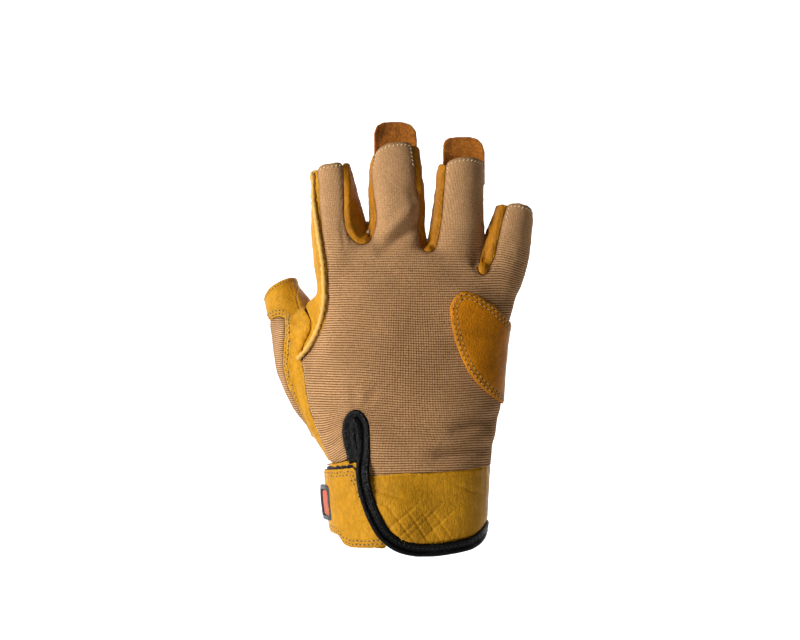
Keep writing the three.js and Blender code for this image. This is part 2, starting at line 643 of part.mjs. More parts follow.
const FOLD_LINES = FOLDS.map((fold) => ({
  line: new THREE.Line3(
    new THREE.Vector3(...frontPoint(fold)),
    new THREE.Vector3(...frontPoint({ limb: fold.limb, side: fold.to_side, along: fold.to_along })),
  ),
  width: fold.width * HAND_DEPTH,
  depth: fold.depth * HAND_DEPTH,
}));

// How far the folds lift or sink the cloth at a point of the front view
function foldDepth(x, z) {
  const point = new THREE.Vector3(x, z, 0);
  const nearest = new THREE.Vector3();
  let depth = 0;
  for (const fold of FOLD_LINES) {
    fold.line.closestPointToPoint(point, true, nearest);
    depth += fold.depth * Math.exp(-((nearest.distanceTo(point) / fold.width) ** 2));
  }
  return depth;
}

// Joins rings of points, each turning from +X to +Y, into one closed solid with a fan at each end
function loft(rings) {
  const count = rings[0].length;
  const positions = [];
  for (const ring of rings) for (const p of ring) positions.push(p.x, p.y, p.z);
  const faces = [];
  for (let i = 0; i < rings.length - 1; i++)
    for (let j = 0; j < count; j++) {
      const a = i * count + j;
      const b = i * count + ((j + 1) % count);
      faces.push(a, b, b + count, a, b + count, a + count);
    }
  for (const [ring, start, turned] of [
    [rings[0], 0, true],
    [rings[rings.length - 1], (rings.length - 1) * count, false],
  ]) {
    const middle = ring.reduce((sum, p) => sum.add(p), new THREE.Vector3()).divideScalar(count);
    const centre = positions.length / 3;
    positions.push(middle.x, middle.y, middle.z);
    for (let j = 0; j < count; j++) {
      const a = start + j;
      const b = start + ((j + 1) % count);
      if (turned) faces.push(centre, b, a);
      else faces.push(centre, a, b);
    }
  }
  const geometry = new THREE.BufferGeometry();
  geometry.setAttribute("position", new THREE.Float32BufferAttribute(positions, 3));
  geometry.setIndex(faces);
  return geometry;
}

function solid(geometry) {
  geometry.deleteAttribute("normal");
  geometry.deleteAttribute("uv");
  const merged = mergeVertices(geometry, 1e-4);
  return new wasm.Manifold(
    new wasm.Mesh({
      numProp: 3,
      vertProperties: new Float32Array(merged.attributes.position.array),
      triVerts: new Uint32Array(merged.index.array),
    }),
  );
}

function geometryOf(manifold) {
  const mesh = manifold.getMesh();
  const geometry = new THREE.BufferGeometry();
  geometry.setAttribute("position", new THREE.BufferAttribute(new Float32Array(mesh.vertProperties), 3));
  geometry.setIndex(new THREE.BufferAttribute(new Uint32Array(mesh.triVerts), 1));
  return geometry;
}

// Distance of a point from a boxy oval's edge along the line to its middle, negative inside
function ovalDistance(x, y, halfWidth, halfDepth, squareness) {
  const far = Math.hypot(x, y);
  const reach =
    (Math.abs(x / halfWidth) ** squareness + Math.abs(y / halfDepth) ** squareness) ** (1 / squareness);
  return reach < 1e-6 ? -halfDepth : far - far / reach;
}

// Distance from the hand's surface within a section: the palm's oval, run softly into the ball of the thumb
function handDistance(x, y, s) {
  const palm = ovalDistance(x - s.x, y - s.y, s.halfWidth, s.halfDepth, HAND_SQUARENESS);
  const heel = ovalDistance(x - s.heelX, y - s.heelY, s.heelWidth, s.heelDepth, 2);
  const joined = -WEB_BLEND * Math.log(Math.exp(-palm / WEB_BLEND) + Math.exp(-heel / WEB_BLEND));
  const facing = THREE.MathUtils.clamp((s.y - y) / s.halfDepth, 0, 1);
  return joined - facing * foldDepth(x, s.z);
}

// The hand's surface in a direction round its middle, raised by an offset that may vary over the front view
function handPoint(angle, along, offset) {
  const s = section(LIMBS.hand, along);
  const raised = (r) => {
    const x = s.x + r * Math.cos(angle);
    const y = s.y + r * Math.sin(angle);
    return handDistance(x, y, s) - (typeof offset === "function" ? offset(x, s.z) : offset);
  };
  let out = HAND_BREADTH;
  while (raised(out - 1) > 0) out -= 1;
  let low = out - 1;
  for (let i = 0; i < 14; i++) {
    const middle = (low + out) / 2;
    if (raised(middle) > 0) out = middle;
    else low = middle;
  }
  return new THREE.Vector3(s.x + out * Math.cos(angle), s.y + out * Math.sin(angle), s.z);
}

// Angles round a section, from the palm side on and closer together over the back of the hand
function turnAt(share) {
  return share < PALM_SHARE
    ? (share / PALM_SHARE) * Math.PI
    : Math.PI + ((share - PALM_SHARE) / (1 - PALM_SHARE)) * Math.PI;
}

// Places up the hand for its rings: both ends, each row between them, and more where rows lie far apart
function handLevels(from, to, step) {
  const between = HAND_ROWS.map((row) => row.along).filter((along) => along > from && along < to);
  const stops = [from, ...between, to];
  const levels = [from];
  for (let i = 1; i < stops.length; i++) {
    const parts = Math.ceil((stops[i] - stops[i - 1]) / step);
    for (let j = 1; j <= parts; j++) levels.push(stops[i - 1] + ((stops[i] - stops[i - 1]) * j) / parts);
  }
  return levels;
}

function handSolid(offset, from, to, step, segments) {
  const rings = handLevels(from, to, step).map((along) => {
    const ring = [];
    for (let j = 0; j < segments; j++) ring.push(handPoint(turnAt(j / segments), along, offset));
    return ring;
  });
  return solid(loft(rings));
}

function limbSolid(limb, offset, from, to, levels, segments) {
  const rings = [];
  for (let i = 0; i <= levels; i++) {
    const along = from + ((to - from) * i) / levels;
    const s = section(limb, along);
    const next = section(limb, along + 0.01);
    const axis = new THREE.Vector3(next.x - s.x, next.y - s.y, next.z - s.z);
    const across = new THREE.Vector3(Math.cos(s.tilt), 0, Math.sin(s.tilt));
    const forward = axis.cross(across).normalize();
    const ring = [];
    for (let j = 0; j < segments; j++) {
      const angle = (j / segments) * 2 * Math.PI;
      const cos = Math.cos(angle);
      const sin = Math.sin(angle);
      const power = 2 / FINGER_SQUARENESS;
      const width = (s.halfWidth + offset) * Math.sign(cos) * Math.abs(cos) ** power;
      let depth = (s.halfDepth + offset) * Math.sign(sin) * Math.abs(sin) ** power;
      const point = new THREE.Vector3(s.x, s.y, s.z).addScaledVector(across, width);
      if (limb !== LIMBS.thumb) depth += Math.min(sin, 0) * foldDepth(point.x, point.z);
      ring.push(point.addScaledVector(forward, depth));
    }
    rings.push(ring);
  }
  return solid(loft(rings));
}

// A front-view outline pulled through the glove, from one depth to another
function prism(outline, from = -HAND_BREADTH, to = HAND_BREADTH) {
  const shape = new THREE.Shape(outline);
  const geometry = new THREE.ExtrudeGeometry(shape, { depth: to - from, bevelEnabled: false });
  geometry.rotateX(Math.PI / 2);
  geometry.translate(0, to, 0);
  return solid(geometry);
}

// Everything nearer the back of the hand than a line up its side, moved towards the palm by some millimetres
function sideOf(line, moved = 0) {
  const shape = new THREE.Shape([
    new THREE.Vector2(-HAND_BREADTH, line[0].along * HAND_HEIGHT),
    ...line.map((row) => new THREE.Vector2(row.forward * HAND_DEPTH + moved, row.along * HAND_HEIGHT)),
    new THREE.Vector2(-HAND_BREADTH, line[line.length - 1].along * HAND_HEIGHT),
  ]);
  const geometry = new THREE.ExtrudeGeometry(shape, { depth: 3 * HAND_BREADTH, bevelEnabled: false });
  geometry.rotateX(Math.PI / 2);
  geometry.rotateZ(Math.PI / 2);
  geometry.translate(-1.5 * HAND_BREADTH, 0, 0);
  return solid(geometry);
}

// A closed outline pushed outwards by a distance, or inwards by a negative one
function grown(outline, distance) {
  const turn = Math.sign(THREE.ShapeUtils.area(outline));
  return outline.map((point, i) => {
    const before = outline[(i + outline.length - 1) % outline.length];
    const after = outline[(i + 1) % outline.length];
    const into = point.clone().sub(before).normalize();
    const out = after.clone().sub(point).normalize();
    const normal = new THREE.Vector2(into.y + out.y, -into.x - out.x);
    const scale = (turn * distance) / Math.max(0.5, 1 + into.dot(out));
    return point.clone().addScaledVector(normal, scale);
  });
}

// Sweeps a rounded strip along points of a surface, its thickness along the normals
function strip(points, normals, width, thickness) {
  const rings = points.map((point, i) => {
    const before = points[Math.max(0, i - 1)];
    const after = points[Math.min(points.length - 1, i + 1)];
    const along = after.clone().sub(before).normalize();
    const across = normals[i].clone().cross(along).normalize();
    const up = along.clone().cross(across);
    return STRIP_PROFILE.map((corner) =>
      point
        .clone()
        .addScaledVector(across, corner.across * width)
        .addScaledVector(up, corner.up * thickness),
    );
  });
  return solid(loft(rings));
}

// A point of the back of the hand by its place in the front view, raised off the surface
function backPoint(x, z, raised) {
  const s = section(LIMBS.hand, z / HAND_HEIGHT);
  let y = s.y - 1.5 * HAND_DEPTH;
  while (y < s.y && handDistance(x, y + 0.5, s) > raised) y += 0.5;
  return new THREE.Vector3(x, y + 0.25, z);
}

function handNormal(point) {
  const at = (x, y, z) => handDistance(x, y, section(LIMBS.hand, z / HAND_HEIGHT));
  const { x, y, z } = point;
  return new THREE.Vector3(
    at(x + 0.5, y, z) - at(x - 0.5, y, z),
    at(x, y + 0.5, z) - at(x, y - 0.5, z),
    at(x, y, z + 0.5) - at(x, y, z - 0.5),
  ).normalize();
}

const beyond = (limb, side, along) => frontPoint({ limb, side, along });

// Closes a finger's hem line into the outline of all that lies past its opening
function pastHem(limb, firstAlong, hem, lastAlong) {
  return [
    beyond(limb, -1.12, firstAlong),
    ...seamLine(hem),
    beyond(limb, 1.12, lastAlong),
    beyond(limb, 1.12, 1.4),
    beyond(limb, -1.12, 1.4),
  ];
}

// The whole hand form, filled, at some height over its outer surface
function form(offset) {
  let filled = handSolid(offset, -0.03, 1.07, HAND_STEP, HAND_SEGMENTS).subtract(
    prism([
      ...seamLine(WEB_TOP, 1).map((point) => point.add(new THREE.Vector2(0, offset))),
      new THREE.Vector2(HAND_BREADTH, 1.5 * HAND_HEIGHT),
      new THREE.Vector2(-HAND_BREADTH, 1.5 * HAND_HEIGHT),
    ]),
  );
  for (const limb of [LIMBS.index, LIMBS.middle, LIMBS.ring, LIMBS.little])
    filled = filled.add(limbSolid(limb, offset, 0, 1.1, 5, FINGER_SEGMENTS));
  return filled.add(limbSolid(LIMBS.thumb, offset, 0, 1, 6, FINGER_SEGMENTS + 4));
}

// The hollow inside: one wall under the surface, and out through every opening
function hollow() {
  let filled = handSolid(-WALL, -0.09, 1.07, 0.15, HAND_SEGMENTS).subtract(
    prism([
      ...seamLine(WEB_TOP, 1).map((point) => point.sub(new THREE.Vector2(0, WALL))),
      new THREE.Vector2(HAND_BREADTH, 1.5 * HAND_HEIGHT),
      new THREE.Vector2(-HAND_BREADTH, 1.5 * HAND_HEIGHT),
    ]),
  );
  for (const limb of [LIMBS.index, LIMBS.middle, LIMBS.ring, LIMBS.little])
    filled = filled.add(limbSolid(limb, -WALL, 0.04, 1.2, 4, FINGER_SEGMENTS - 4));
  return filled.add(limbSolid(LIMBS.thumb, -WALL, 0.05, 1.08, 4, FINGER_SEGMENTS));
}

// Everything below the cuff's edge, which rises and falls round the wrist
function belowRim() {
  const turns = 36;
  const edge = [];
  for (let j = 0; j < turns; j++) {
    const degrees = (j / turns) * 360 > 180 ? (j / turns) * 360 - 360 : (j / turns) * 360;
    const { along } = rowAt(RIM_ROWS, "angle", degrees);
    edge.push(handPoint(THREE.MathUtils.degToRad(degrees), along, 0));
  }
  const middle = edge.reduce((sum, p) => sum.add(p), new THREE.Vector3()).divideScalar(turns);
  const far = edge.map((p) => p.clone().sub(middle).multiplyScalar(1.6).add(middle));
  return solid(loft([far.map((p) => new THREE.Vector3(p.x, p.y, -HAND_DEPTH)), far]));
}

// The flap's own surface: level with the cuff on the right, over the strap at its free left edge
function flapLift(x, z) {
  const rightEnd = beyond("hand", 0.33, 0.15).x;
  const leftEnd = beyond("hand", -0.22, 0.15).x;
  const top = beyond("hand", 0, 0.27).y;
  const full = beyond("hand", 0, 0.2).y;
  const over = THREE.MathUtils.smoothstep(rightEnd - x, 0, rightEnd - leftEnd);
  return FLAP_LIFT * over * THREE.MathUtils.smoothstep(top - z, 0, top - full);
}

const cuffSolid = (offset) => handSolid(offset, -0.03, CUFF_TOP, HAND_STEP, HAND_SEGMENTS);

// Outlines of the panels in the front view
const backOutline = [
  ...seamLine(THUMB_SIDE_SEAM),
  ...seamLine(WEB_SEAM),
  ...seamLine(INDEX_OUTER_SEAM),
  ...seamLine(INDEX_HEM).map((point) => point.add(new THREE.Vector2(0, WALL))),
  ...seamLine(INDEX_INNER_SEAM),
  ...seamLine(FIRST_CROTCH, 2),
  ...seamLine(MIDDLE_OUTER_SEAM),
  ...seamLine(MIDDLE_HEM).map((point) => point.add(new THREE.Vector2(0, WALL))),
  ...seamLine(MIDDLE_INNER_SEAM),
  ...seamLine(SECOND_CROTCH, 2),
  ...seamLine(RING_OUTER_SEAM),
  ...seamLine(RING_HEM).map((point) => point.add(new THREE.Vector2(0, WALL))),
  ...seamLine(RING_INNER_SEAM),
  ...seamLine(THIRD_CROTCH, 2),
  ...seamLine(LITTLE_OUTER_SEAM),
  ...seamLine(LITTLE_HEM).map((point) => point.add(new THREE.Vector2(0, WALL))),
  ...seamLine(OUTER_SIDE),
  ...seamLine(FLAP_SEAM),
  ...seamLine(SLIT),
  ...seamLine(BACK_HEM),
];
const slitOutline = seamLine(SLIT);
const flapOutline = [
  ...seamLine(FLAP_SEAM, 1),
  ...seamLine(BINDING_PATH.slice(11), 1),
  beyond("hand", 0, -0.2),
  beyond("hand", 1.6, -0.2),
  beyond("hand", 1.6, 0.3),
];
const underFlapOutline = [
  beyond("hand", -0.64, 0.266),
  beyond("hand", -0.61, 0.2),
  beyond("hand", -0.34, 0.17),
  beyond("hand", -0.34, -0.2),
  beyond("hand", 1.6, -0.2),
  beyond("hand", 1.6, 0.3),
  ...seamLine(FLAP_SEAM.slice(0, 4), 1),
];
const insertOutline = seamLine(INSERT_OUTLINE);
const thumbBackOutline = [
  ...seamLine(THUMB_RIDGE),
  ...seamLine(WEB_SLIT),
  beyond("hand", -1.13, 0.65),
  beyond("hand", -1, 0.6),
  beyond("hand", -0.92, 0.34),
  beyond("hand", -0.92, 0.306),
  beyond("hand", -1.3, 0.306),
  beyond("hand", -2.2, 0.45),
  beyond("thumb", -2.2, 0.8),
  beyond("thumb", -1.5, 1.2),
];
const thumbFrontOutline = [
  beyond("thumb", 1.9, 1.0),
  beyond("thumb", 1.42, 0.87),
  ...seamLine(THUMB_RIDGE.slice(3), 1),
  ...seamLine(WEB_SLIT, 1),
  beyond("hand", -1.35, 0.6),
  beyond("hand", -1.7, 0.55),
  beyond("thumb", -1.9, 0.35),
  beyond("thumb", -1.9, 1.3),
  beyond("thumb", 1.9, 1.3),
];
const patchOutline = [...seamLine(PATCH_TOP), ...seamLine(PATCH_LOW)];
const strapOutline = seamLine(STRAP_OUTLINE, 1);
const strapPalmOutline = seamLine(STRAP_PALM_OUTLINE, 1);

// Sheet of the hand form with its openings, rim and slit cut
const outer = form(0);
let sheet = outer.subtract(hollow()).subtract(belowRim()).subtract(prism(slitOutline, -HAND_BREADTH, 0));
for (const { limb, first, hem, last } of OPENINGS) {
  sheet = sheet.subtract(prism(pastHem(limb, first, hem, last)));
}

// Binding: up one side of the slit, over its end, down the flap's edge and on round the cuff
const bindingSeat = -0.4 * WALL;
const bindingPoints = BINDING_PATH.map((row) => {
  const { x, y: z } = frontPoint(row);
  return backPoint(x, z, bindingSeat + row.lift * (BINDING_LIFT - bindingSeat));
});
for (const degrees of RIM_ANGLES) {
  const { along } = rowAt(RIM_ROWS, "angle", degrees);
  bindingPoints.push(handPoint(THREE.MathUtils.degToRad(degrees), along, bindingSeat));
}
const bindingCurve = new THREE.CatmullRomCurve3(bindingPoints, false, "centripetal");
const bindingSteps = bindingCurve.getSpacedPoints(74);
const bindingNormals = bindingSteps.map(handNormal);
const binding = strip(bindingSteps, bindingNormals, BINDING_WIDTH, BINDING_THICKNESS);
const bindingRoom = strip(
  bindingSteps,
  bindingNormals,
  BINDING_WIDTH + 2 * CLEARANCE,
  BINDING_THICKNESS + 2 * CLEARANCE,
);

// Panels: each is cut from the sheet, clear of the ones before it
const backSide = sideOf(BACK_SIDE);
const backSideRoom = sideOf(BACK_SIDE, CLEARANCE);
const backPanel = sheet.intersect(prism(backOutline)).intersect(backSide).subtract(bindingRoom);
let rest = sheet.subtract(prism(grown(backOutline, CLEARANCE)).intersect(backSideRoom)).subtract(bindingRoom);

const thumbSide = sideOf(THUMB_BACK_SIDE);
const insertSide = sideOf(THUMB_BACK_SIDE, INSERT_SHARE_PAST * HAND_DEPTH);
const insertRoom = sideOf(THUMB_BACK_SIDE, INSERT_SHARE_PAST * HAND_DEPTH + CLEARANCE);
const thumbInsert = rest.intersect(prism(insertOutline)).intersect(insertSide);
rest = rest.subtract(prism(grown(insertOutline, CLEARANCE)).intersect(insertRoom));

const thumbBack = rest.intersect(prism(thumbBackOutline)).intersect(thumbSide);
rest = rest.subtract(
  prism(grown(thumbBackOutline, CLEARANCE)).intersect(sideOf(THUMB_BACK_SIDE, CLEARANCE)),
);

const thumbFront = rest.intersect(prism(thumbFrontOutline, THUMB_FRONT_FROM * HAND_DEPTH));
rest = rest.subtract(prism(grown(thumbFrontOutline, CLEARANCE), THUMB_FRONT_FROM * HAND_DEPTH - CLEARANCE));

// Side walls between two fingers, from the middle of one to the middle of the next
function gusset(first, second) {
  const outline = [
    beyond(first, 0, 1.3),
    beyond(first, 0, 0.05),
    beyond(second, 0, 0.05),
    beyond(second, 0, 1.3),
  ];
  const made = rest.intersect(prism(outline)).intersect(backSide);
  rest = rest.subtract(prism(grown(outline, CLEARANCE)).intersect(backSideRoom));
  return made;
}
const firstGusset = gusset("index", "middle");
const secondGusset = gusset("middle", "ring");
const thirdGusset = gusset("ring", "little");

// Cuff flap and the room it leaves in the cuff and over the strap
const flapShape = prism(flapOutline).intersect(backSide);
const cuffFlap = cuffSolid(flapLift)
  .subtract(cuffSolid((x, z) => flapLift(x, z) - WALL))
  .intersect(flapShape)
  .subtract(belowRim())
  .subtract(prism(grown(backOutline, CLEARANCE)))
  .subtract(bindingRoom);
const flapRoom = cuffSolid((x, z) => flapLift(x, z) + CLEARANCE)
  .subtract(cuffSolid((x, z) => flapLift(x, z) - WALL - CLEARANCE))
  .intersect(prism(grown(flapOutline, CLEARANCE)))
  .intersect(backSideRoom);
const palmPanel = rest
  .subtract(prism(grown(underFlapOutline, CLEARANCE)).intersect(backSideRoom))
  .subtract(flapRoom);

// Strap round the thumb side with its lining, which shows at the upper edge
const bothSides = (back, palm) => prism(back, -HAND_BREADTH, 0).add(prism(palm, -WALL, HAND_BREADTH));
const strapLevels = cuffSolid(STRAP_OUTSIDE).subtract(cuffSolid(STRAP_INSIDE));
const wristStrap = strapLevels
  .intersect(bothSides(strapOutline, strapPalmOutline))
  .subtract(bindingRoom)
  .subtract(flapRoom);
const liningOf = (outline) =>
  grown(outline, -2 * OVERLAY_WALL).map((point) => point.add(new THREE.Vector2(0, 3 * OVERLAY_WALL)));
const strapLining = cuffSolid(CLEARANCE + LINING_WALL)
  .subtract(cuffSolid(CLEARANCE))
  .intersect(bothSides(liningOf(strapOutline), liningOf(strapPalmOutline)))
  .subtract(bindingRoom)
  .subtract(flapRoom);

// Badge on the strap at the thumb side
function badgeBlock(inset) {
  const halfLength = BADGE_LENGTH / 2 - inset;
  const halfHeight = BADGE_HEIGHT / 2 - inset;
  const radius = BADGE_RIM * 1.4 - inset * 0.6;
  const shape = new THREE.Shape();
  shape.moveTo(halfLength, -halfHeight + radius);
  shape.absarc(halfLength - radius, halfHeight - radius, radius, 0, Math.PI / 2);
  shape.absarc(-halfLength + radius, halfHeight - radius, radius, Math.PI / 2, Math.PI);
  shape.absarc(-halfLength + radius, -halfHeight + radius, radius, Math.PI, 1.5 * Math.PI);
  shape.absarc(halfLength - radius, -halfHeight + radius, radius, 1.5 * Math.PI, 2 * Math.PI);
  const settings = { depth: HAND_BREADTH, bevelEnabled: false, curveSegments: 5 };
  const geometry = new THREE.ExtrudeGeometry(shape, settings);
  geometry.rotateX(Math.PI / 2);
  geometry.rotateZ(Math.PI / 2);
  const middle = section(LIMBS.hand, BADGE_PLACE.along);
  geometry.translate(-HAND_BREADTH, middle.y + BADGE_PLACE.forward * HAND_DEPTH, middle.z);
  return solid(geometry);
}
const badgeSeat = cuffSolid(STRAP_OUTSIDE + CLEARANCE);
const badgeFrame = cuffSolid(STRAP_OUTSIDE + CLEARANCE + BADGE_THICKNESS)
  .subtract(badgeSeat)
  .intersect(badgeBlock(0))
  .subtract(badgeBlock(BADGE_RIM));
const badgeFace = cuffSolid(STRAP_OUTSIDE + CLEARANCE + BADGE_FACE_THICKNESS)
  .subtract(badgeSeat)
  .intersect(badgeBlock(BADGE_RIM + CLEARANCE));

// Edge patch over the little-finger side of the hand
const overForm = form(CLEARANCE);
const edgePatch = form(CLEARANCE + OVERLAY_WALL)
  .subtract(overForm)
  .intersect(prism(patchOutline))
  .intersect(sideOf(BACK_SIDE, PATCH_SHARE_PAST * HAND_DEPTH));

// Rolled welt, laid on the form where a sight line from the front meets it
const outerMesh = new THREE.Mesh(geometryOf(outer), new THREE.MeshBasicMaterial({ side: THREE.DoubleSide }));
const ray = new THREE.Raycaster();
const weltLine = new THREE.SplineCurve([...WELT_HAND, ...WELT_INDEX].map(frontPoint)).getSpacedPoints(28);
const weltHits = weltLine.map((point) => {
  ray.set(new THREE.Vector3(point.x, -2 * HAND_BREADTH, point.y), new THREE.Vector3(0, 1, 0));
  return ray.intersectObject(outerMesh)[0];
});
const weltNormals = weltHits.map((_, i) => {
  const near = weltHits.slice(Math.max(0, i - 2), i + 3);
  return near.reduce((sum, hit) => sum.add(hit.face.normal), new THREE.Vector3()).normalize();
});
const weltCentres = weltHits.map((_, i) => {
  const near = weltHits.slice(Math.max(0, i - 1), i + 2);
  const middle = near.reduce((sum, hit) => sum.add(hit.point), new THREE.Vector3()).divideScalar(near.length);
  return middle.addScaledVector(weltNormals[i], CLEARANCE + 0.3 * WELT_WIDTH);
});
const seamWelt = strip(weltCentres, weltNormals, WELT_WIDTH, WELT_WIDTH).subtract(overForm);

// Pull tabs, sewn to the palm side of the two longest fingers and flatter than the fingers are
function pullTab(name, table) {
  const limb = { ...LIMBS[name], breadth: LIMBS[name].breadth * 1.5 };
  const behind = section(limb, 1).y + TAB_WALL;
  return limbSolid(limb, CLEARANCE + TAB_WALL, 0.7, 1.3, 5, 24)
    .subtract(limbSolid(limb, CLEARANCE, 0.65, 1.35, 5, 24))
    .intersect(prism(seamLine(table, 1), behind));
}
const middleTab = pullTab("middle", MIDDLE_TAB_OUTLINE);
const ringTab = pullTab("ring", RING_TAB_OUTLINE);

const palmLeather = new THREE.MeshStandardMaterial({ color: 0xcf9428, roughness: 0.55, metalness: 0 });
const gussetLeather = new THREE.MeshStandardMaterial({ color: 0xb97a18, roughness: 0.6, metalness: 0 });
const patchLeather = new THREE.MeshStandardMaterial({ color: 0xb5741a, roughness: 0.5, metalness: 0 });
const stretchCloth = new THREE.MeshStandardMaterial({ color: 0x9b7047, roughness: 0.95, metalness: 0 });
const suede = new THREE.MeshStandardMaterial({ color: 0x985d1b, roughness: 1, metalness: 0 });
const blackLeather = new THREE.MeshStandardMaterial({ color: 0x111110, roughness: 0.45, metalness: 0 });
const blackPile = new THREE.MeshStandardMaterial({ color: 0x0c0c0d, roughness: 1, metalness: 0 });
const frameRubber = new THREE.MeshStandardMaterial({ color: 0x2c2d2e, roughness: 0.5, metalness: 0 });
const facePlastic = new THREE.MeshStandardMaterial({ color: 0xd55e26, roughness: 0.45, metalness: 0 });

// A panel without the slivers that crossing seams may leave beside it
function withoutCrumbs(made) {
  const parts = made.decompose().filter((part) => part.volume() > CRUMB_VOLUME);
  return parts.length > 1 ? wasm.Manifold.compose(parts) : parts[0];
}

const group = new THREE.Group();
for (const [name, made, material] of [
  ["back_panel", backPanel, stretchCloth],
  ["palm_panel", palmPanel, palmLeather],
  ["index_middle_gusset", firstGusset, gussetLeather],
  ["middle_ring_gusset", secondGusset, gussetLeather],
  ["ring_little_gusset", thirdGusset, gussetLeather],
  ["thumb_back", thumbBack, palmLeather],
  ["thumb_insert", thumbInsert, stretchCloth],
  ["thumb_front", thumbFront, palmLeather],
  ["cuff_flap", cuffFlap, palmLeather],
  ["edge_patch", edgePatch, patchLeather],
  ["middle_pull_tab", middleTab, suede],
  ["ring_pull_tab", ringTab, suede],
  ["index_seam_welt", seamWelt, palmLeather],
  ["slit_binding", binding, blackLeather],
  ["wrist_strap", wristStrap, palmLeather],
  ["strap_lining", strapLining, blackPile],
  ["badge_frame", badgeFrame, frameRubber],
  ["badge_face", badgeFace, facePlastic],
]) {
  const mesh = new THREE.Mesh(geometryOf(withoutCrumbs(made)), material);
  mesh.name = name;
  group.add(mesh);
}

export default group;
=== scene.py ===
# Right-hand fingerless climbing glove: the cloth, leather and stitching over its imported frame
# Tables and fields are in millimetres, meshes in metres. +Z runs to the fingertips, the back faces -Y
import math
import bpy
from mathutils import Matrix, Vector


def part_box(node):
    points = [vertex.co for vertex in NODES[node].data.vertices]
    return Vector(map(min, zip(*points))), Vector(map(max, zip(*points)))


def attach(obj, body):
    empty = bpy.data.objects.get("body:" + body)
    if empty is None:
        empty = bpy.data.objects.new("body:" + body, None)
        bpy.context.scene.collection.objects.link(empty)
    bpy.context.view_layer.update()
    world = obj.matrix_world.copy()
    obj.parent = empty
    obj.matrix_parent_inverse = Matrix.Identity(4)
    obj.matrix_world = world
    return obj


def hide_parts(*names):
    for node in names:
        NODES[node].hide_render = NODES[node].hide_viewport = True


bl_info = {
    "name": "Climbing glove",
    "version": (1, 0, 0),
    "blender": (4, 5, 0),
    "location": "3D View > Sidebar > Glove",
    "description": "Builds a fingerless climbing glove in leather and stretch cloth over its frame",
    "category": "Object",
}

import bmesh
import bpy
import numpy as np
from bpy.props import FloatProperty, FloatVectorProperty, PointerProperty
from mathutils import Matrix, Vector, noise
from mathutils.bvhtree import BVHTree
from mathutils.kdtree import KDTree

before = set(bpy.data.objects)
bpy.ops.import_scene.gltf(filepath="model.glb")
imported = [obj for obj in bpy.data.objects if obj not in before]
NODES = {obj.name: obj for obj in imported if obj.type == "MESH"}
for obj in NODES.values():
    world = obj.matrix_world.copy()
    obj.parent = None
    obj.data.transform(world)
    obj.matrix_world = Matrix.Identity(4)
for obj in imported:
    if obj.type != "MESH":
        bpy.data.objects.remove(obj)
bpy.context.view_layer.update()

MM = 0.001

# The sheets that make up the hand itself, all cut from one form
BASE_NODES = (
    "back_panel",
    "palm_panel",
    "index_middle_gusset",
    "middle_ring_gusset",
    "ring_little_gusset",
    "thumb_back",
    "thumb_insert",
    "thumb_front",
)
GUSSETS = BASE_NODES[2:5]
CLOTHS = ("back_panel", "thumb_insert")

# Each finger's end: x from and to, z from, and the way it points
FINGER_ENDS = (
    {"x_from": -55, "x_to": -21, "z_from": 168, "points": (-1, 0, 8)},
    {"x_from": -21, "x_to": 12, "z_from": 180, "points": (0, 0.5, 8)},
    {"x_from": 12, "x_to": 38, "z_from": 174, "points": (0.5, 0.5, 8)},
    {"x_from": 36.8, "x_to": 70, "z_from": 152, "points": (1, 0.5, 8)},
)
THUMB_POINTS = (-0.37, 0.38, 0.85)
THUMB_END_LENGTH = 12
RIM_SECTORS = 24

# Seams that lie a little beside the frame's: one sheet grows over its neighbour about a point
MOVED_SEAMS = (
    {"grows": "thumb_front", "yields": "thumb_back", "middle": (-48, 22, 116), "reach": 14, "shift": 4.5},
    {
        "grows": "back_panel",
        "yields": "ring_little_gusset",
        "middle": (31, -12, 138.5),
        "reach": 5,
        "shift": 3.2,
    },
)

CUFF_FILL_TOP = 43
SLIT_FILL = {"x_from": -34, "x_to": -8, "z_to": 74}

REACH = 8  # how far distances to a sheet are followed
FORM_VOXEL = 0.9
RIM_REACH = 0.55  # how far the skin may lie off the frame at an opening
CROTCH_REACH = 3  # and between the fingers, where the skin bridges the frame softly

